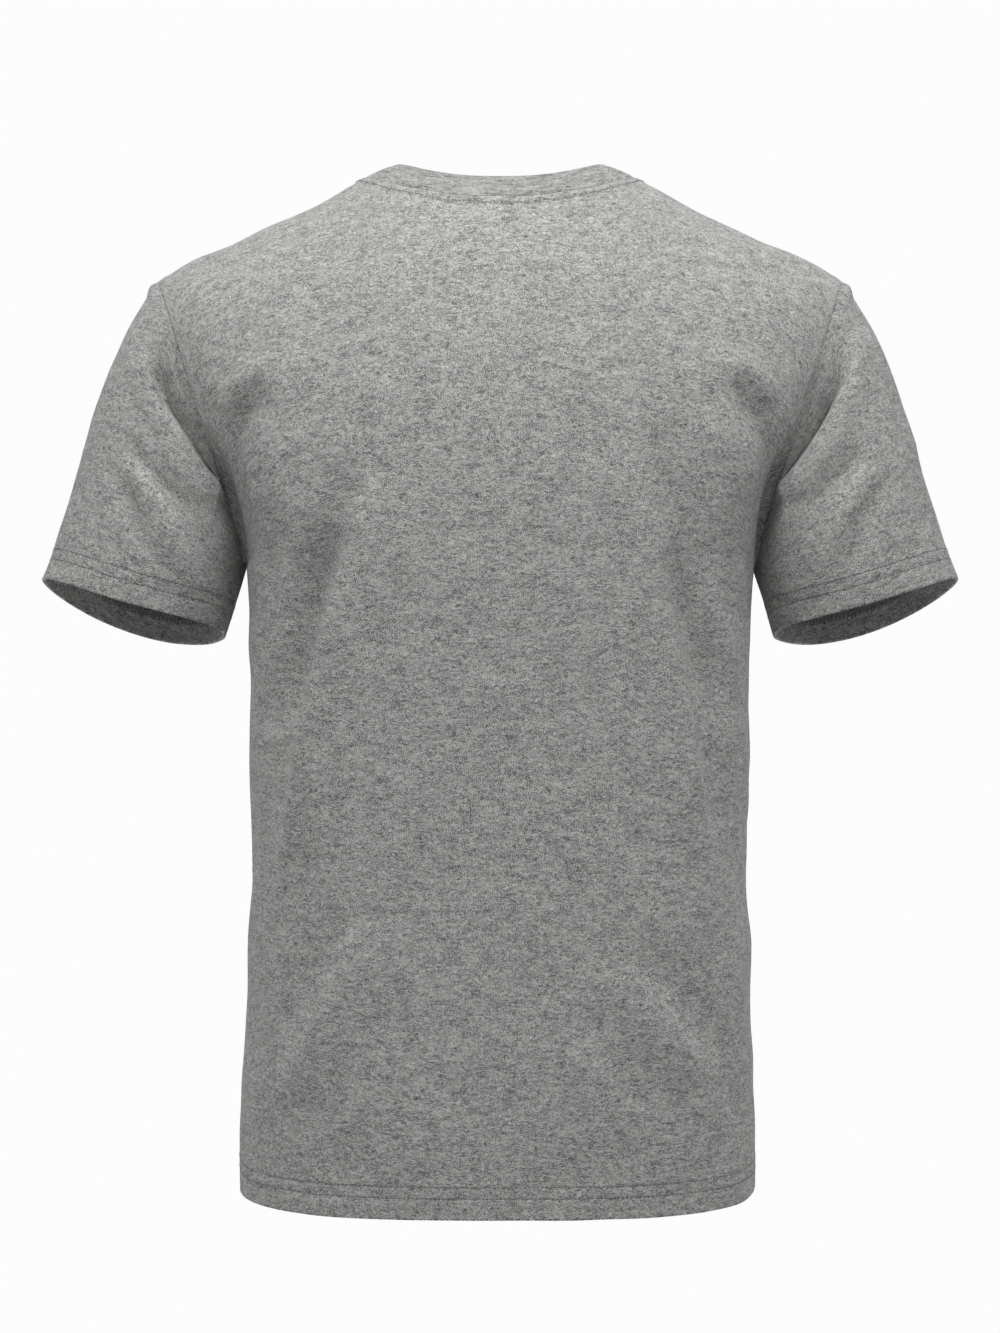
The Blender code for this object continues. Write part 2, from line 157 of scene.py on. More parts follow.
SECTIONS = (                      # half widths and depths of the level rings
    # z       left    right   back    front
    (-0.7050, 0.1800, 0.1764, 0.1200, 0.1240),
    (-0.6600, 0.1792, 0.1758, 0.1190, 0.1235),
    (-0.6180, 0.1780, 0.1748, 0.1175, 0.1225),
    (-0.5630, 0.1757, 0.1741, 0.1150, 0.1210),
    (-0.5200, 0.1732, 0.1733, 0.1135, 0.1205),
    (-0.4800, 0.1716, 0.1716, 0.1125, 0.1205),
    (-0.4100, 0.1732, 0.1731, 0.1130, 0.1230),
    (-0.3300, 0.1734, 0.1734, 0.1160, 0.1270),
    (-0.2680, 0.1762, 0.1762, 0.1190, 0.1290),
    (-0.2000, 0.2000, 0.2000, 0.1195, 0.1270),
    (-0.1000, 0.2400, 0.2400, 0.1150, 0.1200),
    (-0.0500, 0.2400, 0.2400, 0.1110, 0.1150),
    (0.0200, 0.2400, 0.2400, 0.1040, 0.1100),
)
# way: the side it looks to. reach: how far below the shoulder line it has its full depth. scoop:
# how far its armhole is hollowed towards the middle.
BACK = dict(name="back", way=1, depth_column=3, reach=0.20, power=2.2,
            armhole_half=0.058, scoop=0.0035)
FRONT = dict(name="front", way=-1, depth_column=4, reach=0.27, power=1.85,
             armhole_half=0.054, scoop=0.0090)
print("neck seam", 2 * NECK_HALF, "m wide, shoulders", 2 * SHOULDER[0], "m, hem at", HEM_CENTRE_Z)


# %% Depth of the body at any place
def shoulder_line(x):
    return smooth(np.abs(x), column(RIDGE, 0), column(RIDGE, 1))


def rise(x, z, face):
    """Share of the full depth that a face has at x and z, by the drop below the shoulder line."""
    drop = np.maximum(shoulder_line(x) - z, 0.0) / face["reach"]
    return super_root(1 - np.minimum(drop, 1.0), face["power"])


def full_depth(z, face):
    return smooth(z, column(SECTIONS, 0), column(SECTIONS, face["depth_column"]))


def armhole(turn, face):
    """The armhole seam from the shoulder point, at turn 0, to the underarm, at turn 1."""
    down = np.cos(np.pi * np.asarray(turn))
    x = (SHOULDER[0] + UNDERARM[0]) / 2 + down * (SHOULDER[0] - UNDERARM[0]) / 2
    x = x - face["scoop"] * np.sin(np.pi * np.asarray(turn))
    z = (SHOULDER[1] + UNDERARM[1]) / 2 + down * (SHOULDER[1] - UNDERARM[1]) / 2
    y = face["armhole_half"] * super_root(np.abs(down), face["power"])
    return np.stack([x, y, z], axis=-1)


def half_width(z, side, face):
    """Half the ring's width at z. Above the underarm it makes the ring pass through the armhole."""
    below = smooth(z, column(SECTIONS, 0), column(SECTIONS, 1 if side > 0 else 2))
    seam = armhole(np.linspace(0.999, 0.001, ARMHOLE_STEPS), face)
    share = seam[:, 1] / (full_depth(seam[:, 2], face) * rise(seam[:, 0], seam[:, 2], face))
    above = seam[:, 0] / super_root(share, SECTION_POWER)
    return np.where(z <= UNDERARM[1], below, np.interp(z, seam[:, 2], above))


def depth(x, z, side, face):
    across = super_root(np.abs(x) / half_width(z, side, face), SECTION_POWER)
    return full_depth(z, face) * across * rise(x, z, face)


print("chest depth", full_depth(-0.2, BACK) + full_depth(-0.2, FRONT), "m")

# %% [markdown]
# ## Grids for the back and the front
#
# A panel's grid has columns that climb from the hem to the neckline or the shoulder seam, and rows
# that run from side to side. Evenly spread rows would blur the seams, where the cloth turns within a
# millimetre. So the rows and columns stand close together beside every edge and every row of
# stitches, and are three or four millimetres apart elsewhere.
#
# Where the side seam meets the sleeve, the arm hangs against the body and the cloth of both sinks
# into a hollow. It is in the form itself, and not a fold laid on it, so that the panels and the
# sleeves sink alike and still meet.

# %% Where the rows and columns stand
HEM_FOLD = 0.0012                 # the hem's folded edge is this far below its first row
# Rows stand at these heights above the hem's edge, and at these distances from the top edge. Columns
# stand at these distances from the side seam.
HEM_ROWS = (0.0012, 0.0018, 0.0028, 0.0050, 0.0080, 0.0110, 0.0130, 0.0138, 0.0145, 0.0152, 0.0160,
            0.0180, 0.0200, 0.0212, 0.0220, 0.0228, 0.0236, 0.0246, 0.0262, 0.0285)
EDGE_ROWS = (0.0130, 0.0105, 0.0090, 0.0082, 0.0077, 0.0073, 0.0069, 0.0064, 0.0059, 0.0050, 0.0036,
             0.0024, 0.0015, 0.0009, 0.0004, 0.0)
EDGE_COLUMNS = (0.0100, 0.0080, 0.0065, 0.0050, 0.0036, 0.0025, 0.0016, 0.0009, 0.0004, 0.0)
SIDE_RUN = 0.150                  # about how wide the columns beyond the neck's corner are together
NECK_COLUMNS = 40                 # from the centre to the high shoulder point
NECK_SHARE = 0.40                 # of the half girth, at the column under the high shoulder point
COLUMN_STEPS = 500
BACK_GRID = dict(shoulder_columns=42, lower_rows=120, upper_rows=72)
FRONT_GRID = dict(shoulder_columns=34, lower_rows=90, upper_rows=58)


# %% The neckline, a level ring, and the hollow at the underarm
def neckline(side, face):
    angle = np.linspace(0, np.pi / 2, CURVE_STEPS)
    if face is BACK:
        x = NECK_HALF * np.sin(angle)
        z = -NECK_DROP_BACK * (1 - (x / NECK_HALF) ** NECK_POWER_BACK)
    else:
        x = NECK_HALF * np.sin(angle) ** (2 / NECK_POWER_FRONT)
        z = -NECK_DROP_FRONT * np.cos(angle) ** (2 / NECK_POWER_FRONT)
    return np.stack([x, depth(x, z, side, face), z], axis=1)


def section(z, side, face, shares):
    """The ring at z from the centre to the side seam: points at shares of its length, each as a
    share of the half width."""
    angle = np.linspace(0, np.pi / 2, CURVE_STEPS)
    level = np.full(CURVE_STEPS, z)
    width = half_width(level, side, face)
    x = width * np.sin(angle) ** (2 / SECTION_POWER)
    return along(np.stack([x, depth(x, level, side, face)], axis=1), shares)[:, 0] / width[0]


ARMPIT = (                        # z, and the share of its depth that the cloth loses there
    (-0.2820, 0.0), (-0.2670, 0.42), (-0.2450, 0.48), (-0.2180, 0.36), (-0.1950, 0.14), (-0.1700, 0.0),
)
ARMPIT_REACH = 0.0095             # how far from the seam the hollow goes


def armpit(points, from_seam):
    """Share of its depth that the cloth loses in the hollow beside the underarm."""
    height = smooth(points[..., 2], column(ARMPIT, 0), column(ARMPIT, 1))
    return height * np.exp(-((from_seam / ARMPIT_REACH) ** 2))


# %% A panel's grid
def half_panel(side, face, shoulder_columns, lower_rows, upper_rows):
    """Rows from the hem up, of points from the centre to the side seam and the armhole."""
    close = 1 - np.array(EDGE_COLUMNS) / SIDE_RUN
    steps = np.concatenate([np.linspace(0, close[0], shoulder_columns + 1)[1:-1], close])
    over_neck = NECK_SHARE * np.linspace(0, 1, NECK_COLUMNS + 1)
    s = np.concatenate([over_neck, NECK_SHARE + (1 - NECK_SHARE) * steps])
    hem = HEM_CENTRE_Z + (HEM_SIDE_Z - HEM_CENTRE_Z) * s**HEM_POWER
    hem_rows = hem + np.array(HEM_ROWS)[:, None]
    levels = np.linspace(0, 1, lower_rows + 1)[1:, None]
    z = np.vstack([hem_rows, hem_rows[-1] + (UNDERARM[1] - hem_rows[-1]) * levels])
    x = np.array([section(row.mean(), side, face, s) for row in z]) * half_width(z, side, face)
    lower = np.stack([x, depth(x, z, side, face), z], axis=-1)
    lower[:, -1, 1] = 0.0

    ridge_x = np.linspace(NECK_HALF, SHOULDER[0], CURVE_STEPS)
    ridge = along(np.stack([ridge_x, shoulder_line(ridge_x)], axis=1), steps)
    neck = along(neckline(side, face), np.linspace(0, 1, NECK_COLUMNS + 1))[:, [0, 2]]
    top, bottom = np.concatenate([neck, ridge]), lower[-1][:, [0, 2]]
    climb = 1 - (1 - np.linspace(0, 1, COLUMN_STEPS)[:, None, None]) ** 2
    seam = armhole(1 - climb[:, :, 0], face)
    between = (1 - climb) * bottom + climb * top
    share = s[:, None]
    flat = between + share * (seam[..., [0, 2]] - between[:, -1:])
    points = np.stack([flat[..., 0], depth(flat[..., 0], flat[..., 1], side, face), flat[..., 1]], axis=-1)
    points[:, -1] = seam[:, 0]
    points[-1, NECK_COLUMNS:, 1] = 0.0
    upper = []
    for line in points.swapaxes(0, 1):
        length = run_of(line)[-1]
        close = 1 - np.array(EDGE_ROWS) / length
        upper.append(along(line, np.concatenate([np.linspace(0, close[0], upper_rows + 1)[1:-1], close])))
    half = np.concatenate([lower, np.stack(upper, axis=1)])
    half[..., 1] *= 1 - armpit(half, run_back(half, axis=1))
    half[..., 1] = face["way"] * (half[..., 1] + SEAM_GAP / 2)
    return half * (side, 1, 1)


def panel_form(face, grid):
    """The whole panel, its columns running from the wearer's right to the left."""
    return np.concatenate([half_panel(-1, face, **grid)[:, :0:-1], half_panel(1, face, **grid)], axis=1)


back_form, front_form = panel_form(BACK, BACK_GRID), panel_form(FRONT, FRONT_GRID)
UNDERARM_ROW = {"back": len(HEM_ROWS) + BACK_GRID["lower_rows"] - 1,
                "front": len(HEM_ROWS) + FRONT_GRID["lower_rows"] - 1}
print("rows and columns: back", back_form.shape[:2], "front", front_form.shape[:2])

# %% [markdown]
# ## Cloth coordinates
#
# Jersey is knitted in courses, which run across the shirt, and wales, which run up it. The marl of
# the yarn follows the courses. So every point gets its place in the flat cloth, in metres: its
# length along the course and its length up the wale. They are the UVs, and one pattern in metres
# then has the same size on every piece, whatever its shape. The pieces are cut from different
# places of the cloth, or else the marl would mirror itself at the side seams.

# %% Lengths along the cloth, and normals
def cloth_places(points, level_row, centre, cut_at):
    """The place of each grid point in the flat cloth, for a piece cut out with its centre at
    cut_at. Courses are level at level_row."""
    across, up = run_of(points, axis=1), run_of(points, axis=0)
    return np.stack([across - across[:, [centre]], up - up[[level_row]]], axis=-1) + cut_at


def normals_of(points, way, wrap=False):
    if wrap:
        across = np.roll(points, -1, axis=1) - np.roll(points, 1, axis=1)
    else:
        across = np.gradient(points, axis=1)
    return way * unit(np.cross(np.gradient(points, axis=0), across))


def from_sides(form):
    """Distance of every point of a panel's grid to the nearer of its two sides."""
    return np.minimum(run_of(form, axis=1), run_back(form, axis=1))


def distance_to(points, line):
    """Distance of every point to the nearest of a line of places."""
    nearest = np.full(points.shape[:-1], np.inf)
    for place in line:
        nearest = np.minimum(nearest, ((points - place) ** 2).sum(axis=-1))
    return np.sqrt(nearest)


# %% [markdown]
# ## Folds
#
# On a filled-out shirt the cloth is pulled from the shoulder blades and the underarms, and long soft
# ridges run down from there and fade out. A cloth simulation would find folds of its own choice. So
# the folds are listed one by one: each is a line through three places on a face, with a width and a
# height, which is below 0 for a trough. A lean makes one side of a ridge steep, with a trough beside
# it, and the other side gentle. No two are alike, as on real cloth. The largest ones are in the
# solids too.

# %% The folds of the body
BODY_FOLDS = (
    # face     start x, z          middle x, z         end x, z            width   height   lean
    ("back", (0.0831, -0.2069), (0.1157, -0.3190), (0.1464, -0.4838), 0.0130, 0.0088, 0.7),
    ("back", (-0.0870, -0.1736), (-0.1150, -0.3300), (-0.1471, -0.5338), 0.0140, 0.0080, -0.7),
    ("back", (0.1060, -0.2450), (0.1330, -0.3150), (0.1560, -0.3850), 0.0130, -0.0100, 0.0),
    ("back", (-0.1100, -0.2550), (-0.1330, -0.3200), (-0.1570, -0.3800), 0.0120, -0.0070, 0.0),
    ("back", (0.1010, -0.2600), (0.1210, -0.3370), (0.1440, -0.4700), 0.0042, 0.0032, 0.0),
    ("back", (-0.1040, -0.2600), (-0.1190, -0.3400), (-0.1400, -0.4700), 0.0042, 0.0024, 0.0),
    ("back", (0.0897, -0.5071), (0.1131, -0.5604), (0.1400, -0.6300), 0.0150, 0.0072, 0.6),
    ("back", (-0.0817, -0.5338), (-0.1037, -0.5705), (-0.1420, -0.6150), 0.0150, 0.0066, -0.6),
    ("back", (0.1560, -0.1500), (0.1830, -0.1949), (0.1700, -0.2720), 0.0095, -0.0085, 0.0),
    ("back", (-0.1550, -0.1460), (-0.1850, -0.1936), (-0.1760, -0.2650), 0.0095, -0.0078, 0.0),
    ("back", (0.1380, -0.2950), (0.1517, -0.3323), (0.1540, -0.3950), 0.0085, 0.0022, 0.5),
    ("back", (-0.1420, -0.2850), (-0.1560, -0.3300), (-0.1590, -0.4050), 0.0080, 0.0019, -0.5),
    ("back", (0.1450, -0.1330), (0.1700, -0.1430), (0.1900, -0.1680), 0.0080, 0.0042, 0.0),
    ("back", (-0.1420, -0.1300), (-0.1670, -0.1390), (-0.1880, -0.1620), 0.0080, 0.0040, 0.0),
    ("back", (0.1350, -0.1750), (0.1500, -0.2050), (0.1480, -0.2500), 0.0090, 0.0026, 0.0),
    ("back", (-0.1330, -0.1700), (-0.1500, -0.2000), (-0.1500, -0.2450), 0.0090, 0.0024, 0.0),
    ("back", (0.0620, -0.5900), (0.0830, -0.6150), (0.1080, -0.6560), 0.0140, 0.0018, 0.3),
    ("back", (-0.0500, -0.5750), (-0.0700, -0.6150), (-0.0930, -0.6480), 0.0150, 0.0020, -0.3),
    ("back", (0.1540, -0.5000), (0.1570, -0.5600), (0.1520, -0.6300), 0.0100, 0.0020, 0.4),
    ("back", (-0.1500, -0.4300), (-0.1590, -0.5200), (-0.1560, -0.6000), 0.0100, 0.0020, -0.4),
    ("front", (0.0700, -0.2300), (0.1050, -0.3400), (0.1350, -0.5000), 0.0140, 0.0050, 0.5),
    ("front", (-0.0800, -0.2000), (-0.1080, -0.3300), (-0.1300, -0.4700), 0.0130, 0.0054, -0.5),
    ("front", (-0.0500, -0.5000), (-0.0850, -0.5600), (-0.1200, -0.6300), 0.0160, 0.0042, -0.4),
    ("front", (0.0600, -0.5300), (0.0950, -0.5800), (0.1300, -0.6400), 0.0150, 0.0030, 0.4),
    ("front", (0.1450, -0.1500), (0.1620, -0.1900), (0.1560, -0.2500), 0.0110, -0.0040, 0.0),
    ("front", (-0.1430, -0.1450), (-0.1640, -0.1850), (-0.1580, -0.2550), 0.0110, -0.0044, 0.0),
    ("front", (0.1380, -0.3000), (0.1540, -0.3500), (0.1550, -0.4200), 0.0090, 0.0022, 0.5),
    ("front", (-0.1400, -0.2900), (-0.1530, -0.3300), (-0.1560, -0.3900), 0.0090, 0.0024, -0.5),
)
print(len(BODY_FOLDS), "folds on the body")

# %% Height of the folds
FOLD_SAMPLES = 60
LEAN_AT = 1.35                    # the trough beside a ridge, in widths
STEEP, GENTLE = 0.55, 1.5         # widths of a leaning ridge on its trough's side and on the other
HEM_FOLD_SHARE = 0.4              # the stitched hem holds its edge flatter
HEM_FOLD_REACH = 0.05
SIDE_FOLD_REACH = 0.008           # a fold dies out this far from a side seam or an armhole
TOP_FOLD_REACH = 0.02             # and this far from the neck seam or the shoulder seam


def fold_height(places, start, middle, end, width, height, lean):
    """Height of one fold at each (x, z) place."""
    t = np.linspace(0, 1, FOLD_SAMPLES)
    line = np.stack([smooth(t, (0.0, 0.5, 1.0), three) for three in zip(start, middle, end)], axis=1)
    way = unit(np.gradient(line, axis=0))
    best = np.full(places.shape[:-1], np.inf)
    signed, ends = np.zeros_like(best), np.zeros_like(best)
    for spot, direction, fading in zip(line, way, 1 - np.abs(2 * t - 1) ** 3):
        offset = places - spot
        distance = np.hypot(offset[..., 0], offset[..., 1])
        near = distance < best
        best = np.where(near, distance, best)
        side = np.sign(direction[0] * offset[..., 1] - direction[1] * offset[..., 0])
        signed, ends = np.where(near, side * distance, signed), np.where(near, fading, ends)
    signed *= math.copysign(1.0, lean)
    spread = width if lean == 0 else np.where(signed > 0, STEEP, GENTLE) * width
    trough = abs(lean) * np.exp(-(((signed - LEAN_AT * width) / width) ** 2))
    return height * ends * (np.exp(-((signed / spread) ** 2)) - trough)


def body_folds(face, points):
    """Height of all of a face's folds together."""
    places = points[..., [0, 2]]
    total = sum(fold_height(places, *row[1:]) for row in BODY_FOLDS if row[0] == face["name"])
    hem = fade(run_of(points), 0.0, HEM_FOLD_REACH)
    edge = 1 - fade(from_sides(points), 0.0, SIDE_FOLD_REACH)
    top = 1 - fade(run_back(points), 0.0, TOP_FOLD_REACH)
    return total * (1 - (1 - HEM_FOLD_SHARE) * hem) * edge * top


# %% [markdown]
# Between the folds, worn jersey is never quite flat. A few dozen long waves of random direction,
# added together, give shallow swells. They are worked out from places in space, so they run on
# across the seams from piece to piece. A fixed seed gives the same shirt each time.

# %% Swells
SWELL_COUNT = 40
SWELL_LENGTHS = (0.016, 0.075)
SWELL_HEIGHT = 0.00011            # of each wave
waves = np.random.default_rng(7)
swell_ways = unit(waves.normal(size=(SWELL_COUNT, 3)) * (1.0, 0.7, 0.8))
swell_lengths = waves.uniform(*SWELL_LENGTHS, SWELL_COUNT)
swell_starts = waves.uniform(0, 2 * np.pi, SWELL_COUNT)


def swells(points):
    turns = points @ (swell_ways * 2 * np.pi / swell_lengths[:, None]).T + swell_starts
    heights = SWELL_HEIGHT * (swell_lengths / SWELL_LENGTHS[1]) ** 0.5
    return (np.sin(turns) * heights).sum(axis=-1)


print("swells", round(1000 * float(np.abs(swells(back_form)).max()), 2), "mm at most")

# %% [markdown]
# ## Seams and hems in relief
#
# Three things tell a sewn edge from a cut one. At a seam both pieces dip into the joint. The side
# that the seam allowance is pressed to stands a little proud: beside the neck seam it is stitched
# down as a raised strip. A folded hem is thicker, and its stitches sink into it. All three are
# heights that depend only on the distance to the edge.

# %% Heights beside edges
DITCH_DEPTH = 0.0006
DITCH_REACH = 0.0016              # how far from the seam the cloth dips
ALLOWANCE_HEIGHT = 0.0005
ALLOWANCE_REACH = 0.0075
HEM_HEIGHT = 0.00022
HEM_TOP = 0.0238
HEM_STITCHES = (0.0145, 0.0220)   # up from the hem's edge
STITCH_GROOVE = 0.00022
STITCH_GROOVE_REACH = 0.0009
NECK_STRIP = 0.0071               # the raised strip along the neck seam
NECK_STRIP_HEIGHT = 0.0014
NECK_GROOVE = 0.00080
NECK_STITCHES = (0.0005, 0.0064)  # out from the neck seam
NECK_ROWS = 60                    # only a panel's top rows are near its neck edge
JERSEY = 0.0012                   # thickness of the cloth
DOUBLED = 0.0024                  # and where it is folded double


def ditch(distance, share):
    return -DITCH_DEPTH * share * fade(distance, 0.0, DITCH_REACH)


def hem_relief(distance):
    grooves = sum(np.exp(-(((distance - row) / STITCH_GROOVE_REACH) ** 2)) for row in HEM_STITCHES)
    return HEM_HEIGHT * fade(distance, HEM_TOP - 0.0015, HEM_TOP + 0.0025) - STITCH_GROOVE * grooves


def allowance(distance):
    return ALLOWANCE_HEIGHT * fade(distance, ALLOWANCE_REACH - 0.001, ALLOWANCE_REACH + 0.001)


# %% The outer face of a panel
def neck_line(form):
    """Places along the neck edge of a panel, close together."""
    middle = form.shape[1] // 2
    edge = form[-1, middle - NECK_COLUMNS : middle + NECK_COLUMNS + 1]
    return along(edge, np.linspace(0, 1, CURVE_STEPS))


neck_edge = np.concatenate([neck_line(back_form), neck_line(front_form)])


def panel_surface(face, form):
    """The outer face of a panel, with its folds, swells, seams and hem, and the cloth's thickness."""
    way = face["way"]
    from_hem = run_of(form) + HEM_FOLD
    from_side = from_sides(form)
    from_neck = np.full(form.shape[:2], 1.0)
    from_neck[-NECK_ROWS:] = distance_to(form[-NECK_ROWS:], neck_edge)
    over_shoulder = np.abs(form[..., 0]) > NECK_HALF
    rows = np.arange(len(form))[:, None]
    by_armhole = fade(UNDERARM_ROW[face["name"]] - rows, 0, 6)
    height = body_folds(face, form) + swells(form) + hem_relief(from_hem)
    shoulder_seam = np.where(over_shoulder, ditch(run_back(form), 0.6), 0.0)
    height += shoulder_seam * (1 - fade(from_neck, 0.0, NECK_STRIP))
    height += ditch(from_side, 0.5) + by_armhole * allowance(from_side)
    height += NECK_STRIP_HEIGHT * fade(from_neck, NECK_STRIP - 0.0002, NECK_STRIP + 0.0007)
    height += ditch(from_neck, 0.8)
    for row in NECK_STITCHES:
        height -= NECK_GROOVE * np.exp(-(((from_neck - row) / STITCH_GROOVE_REACH) ** 2))
    surface = form + height[..., None] * normals_of(form, way)
    doubled = fade(from_hem, HEM_TOP, HEM_TOP + 0.001)
    doubled = np.maximum(doubled, fade(from_neck, NECK_STRIP, NECK_STRIP + 0.001))
    return surface, JERSEY + (DOUBLED - JERSEY) * doubled


back_surface, back_thickness = panel_surface(BACK, back_form)
front_surface, front_thickness = panel_surface(FRONT, front_form)
print("back with its folds: depth", round(float(back_surface[..., 1].max()), 4), "m")

# %% [markdown]
# ## From a surface to a wall
#
# A surface with no thickness looks like paper at its edges. Blender's Solidify modifier would do,
# but a hem needs a round folded edge and a doubled turn-in. So the wall is one closed loop of rows:
# down the outer face, round the folded edge, and up the inner face.

# %% Rows of a closed wall
EDGE_TURNS = 4                    # rows round a folded edge


def wall_rows(outer, places, thickness, way, wrap=False):
    """Rows of a closed wall and their places in the cloth. Row 0 of outer is by its folded edge."""
    out = normals_of(outer, way, wrap)
    inner = outer - out * thickness[..., None]
    down, half = unit(outer[0] - outer[1]), thickness[0][:, None] / 2
    turns = np.pi * np.arange(1, EDGE_TURNS + 1) / (EDGE_TURNS + 1)
    edge = [outer[0] + half * (down * math.sin(a) - out[0] * (1 - math.cos(a))) for a in turns]
    edge_places = [places[0]] * EDGE_TURNS
    return np.concatenate([outer[::-1], edge, inner]), np.concatenate([places[::-1], edge_places, places])


# %% A mesh from rows
def grid_mesh(name, rows, places, wrap=False):
    """A mesh whose rows close into a loop. Its columns close too, or else its two sides are capped."""
    count, width = rows.shape[:2]
    index = np.arange(count * width).reshape(count, width)
    place_at = index.copy()
    if wrap:
        index = np.concatenate([index, index[:, :1]], axis=1)
        place_at = np.arange(count * (width + 1)).reshape(count, width + 1)
    corners = [(0, 0), (0, 1), (1, 1), (1, 0)]

    def quads(grid):
        below = np.roll(grid, -1, axis=0)
        return np.stack([(below if r else grid)[:, c : grid.shape[1] - 1 + c] for r, c in corners], axis=-1)

    faces, face_places = quads(index).reshape(-1, 4), quads(place_at).reshape(-1, 4)
    if not wrap:
        i = np.arange(count // 2 - 1)
        first = np.stack([index[i, 0], index[i + 1, 0], index[-2 - i, 0], index[-1 - i, 0]], axis=1)
        last = np.stack([index[-1 - i, -1], index[-2 - i, -1], index[i + 1, -1], index[i, -1]], axis=1)
        faces = np.concatenate([faces, first, last])
        face_places = np.concatenate([face_places, first, last])
    points = rows.reshape(-1, 3)
    a, b, c, d = points[faces].swapaxes(0, 1)
    if (np.cross(c - a, d - b) * (a + b + c + d)).sum() < 0:
        faces, face_places = faces[:, ::-1], face_places[:, ::-1]
    mesh = bpy.data.meshes.new(name)
    mesh.from_pydata(points, [], faces.tolist())
    layer = mesh.uv_layers.new(name="cloth")
    layer.uv.foreach_set("vector", places.reshape(-1, 2)[face_places].ravel())
    mesh.shade_smooth()
    mesh.update()
    made = bpy.data.objects.new(name, mesh)
    bpy.context.scene.collection.objects.link(made)
    print(name, len(faces) * 2, "triangles")
    return made


# %% The back and the front
BACK_CUT, FRONT_CUT = (0.0, 0.0), (1.37, 0.41)
back_places = cloth_places(back_form, UNDERARM_ROW["back"], back_form.shape[1] // 2, BACK_CUT)
front_places = cloth_places(front_form, UNDERARM_ROW["front"], front_form.shape[1] // 2, FRONT_CUT)
back = grid_mesh("back_panel", *wall_rows(back_surface, back_places, back_thickness, BACK["way"]))
front = grid_mesh("front_panel", *wall_rows(front_surface, front_places, front_thickness, FRONT["way"]))

# %% [markdown]
# ## The sleeves
#
# A set-in sleeve is a tube from the armhole seam to the cuff. With the arm down, the spare cloth
# behind it rolls into one deep fold: a rounded crest that runs from the sleeve head to the armhole
# seam, with a sharp trough on its body side. A fold that is only a height on the form can't hang
# over, and here the crest does, so the form's points also move sideways over the trough.

# %% The deep fold behind the arm
SLEEVE_FOLD = (                   # drop: of the cloth beside the crest. fall: how wide that drop is.
    # z       crest x  drop    fall    overhang
    (-0.2270, 0.1872, 0.0000, 0.0040, 0.0000),
    (-0.2156, 0.1943, 0.0120, 0.0026, 0.0036),
    (-0.1986, 0.2090, 0.0190, 0.0026, 0.0058),
    (-0.1732, 0.2260, 0.0200, 0.0030, 0.0062),
    (-0.1538, 0.2357, 0.0150, 0.0046, 0.0044),
    (-0.1274, 0.2465, 0.0060, 0.0140, 0.0000),
    (-0.1000, 0.2530, 0.0000, 0.0220, 0.0000),
)
FOLD_FROM = 0.05                  # share of the sleeve's length at which the fold is free of the seam
FOLD_CREST = 0.0030               # how far the crest stands out
FOLD_CREST_WIDTH = 0.012
FOLD_CREST_FROM = 0.006           # it stands out fully where the cloth beside it drops this far
FOLD_LEAN_WIDTH = 0.0045          # the part of the crest that leans over the trough
FOLD_RISE = 0.8                   # how the trough comes back up to the seam: 1 is straight


def sleeve_fold(points):
    """How far the sleeve's back drops beside the fold's crest, and how far the crest leans towards
    the body."""
    x, z = points[:, 0], points[:, 2]
    keys = column(SLEEVE_FOLD, 0)
    crest, drop, fall, overhang = (smooth(z, keys, column(SLEEVE_FOLD, n)) for n in (1, 2, 3, 4))
    seam = armhole(np.linspace(1, 0, CURVE_STEPS), BACK)
    room = crest - np.interp(z, seam[:, 2], seam[:, 0])
    inward = crest - x
    fallen = 1 - fade(inward, 0.0, fall)
    back_up = np.clip((room - inward) / np.maximum(room - fall, 0.001), 0.0, 1.0) ** FOLD_RISE
    stands = FOLD_CREST * np.exp(-((inward / FOLD_CREST_WIDTH) ** 2))
    stands *= np.clip(drop / FOLD_CREST_FROM, 0.0, 1.0)
    lean = overhang * np.exp(-((inward / FOLD_LEAN_WIDTH) ** 2))
    return drop * fallen * back_up - stands * (1 - fallen), lean


# %% [markdown]
# The sleeve's rings start on the same formula as the panels' armhole, and turn step by step into the
# cuff's ring. Straight lines from seam to cuff would leave a kink at the shoulder. So the sleeve head
# bulges, and beside the seam the sleeve first goes on the way the panel's cloth was going.

# %% Sizes of the sleeve
CUFF_OUTER = (0.3178, -0.2794)    # x and z
CUFF_INNER = (0.1909, -0.3162)
CUFF_HALF_DEPTH = 0.0560
CUFF_POWER = 2.1
CUFF_TILT = 0.200                 # rise towards the back
CUFF_SAG = 0.0080                 # the back and front hang below the line between the ends
CAP_BULGE = 0.0095                # roundness of the sleeve head over the shoulder
CAP_WAY = (0.93, 0.0, 0.36)       # the way the head bulges
CAP_FADE = 2.2                    # more moves the bulge towards the shoulder
CAP_SCALE = (1 + CAP_FADE) ** (1 + CAP_FADE) / CAP_FADE**CAP_FADE
SLEEVE_BULGE = 0.0040             # fullness of the sleeve's back and front
SLEEVE_COLUMNS = (112, 74)        # behind the arm, and before it
SLEEVE_RINGS = 150
SLEEVE_EDGE = (0.0, 0.0004, 0.0009, 0.0016, 0.0026, 0.0038, 0.0052)
SLEEVE_FOLLOW = (0.004, 0.015)    # a sleeve leaves its seam in the panel's direction, up to here
print("sleeve grid:", sum(SLEEVE_COLUMNS), "columns")


# %% The sleeve's rings
def armhole_run_off(form, side, first):
    """The direction in which a panel's cloth runs off its armhole edge, by height, from its row
    first up."""
    edge, inner = (-1, -2) if side > 0 else (0, 1)
    ways = unit(form[first:, edge] - form[first:, inner]) * (side, 1, 1)
    return form[first:, edge, 2], ways


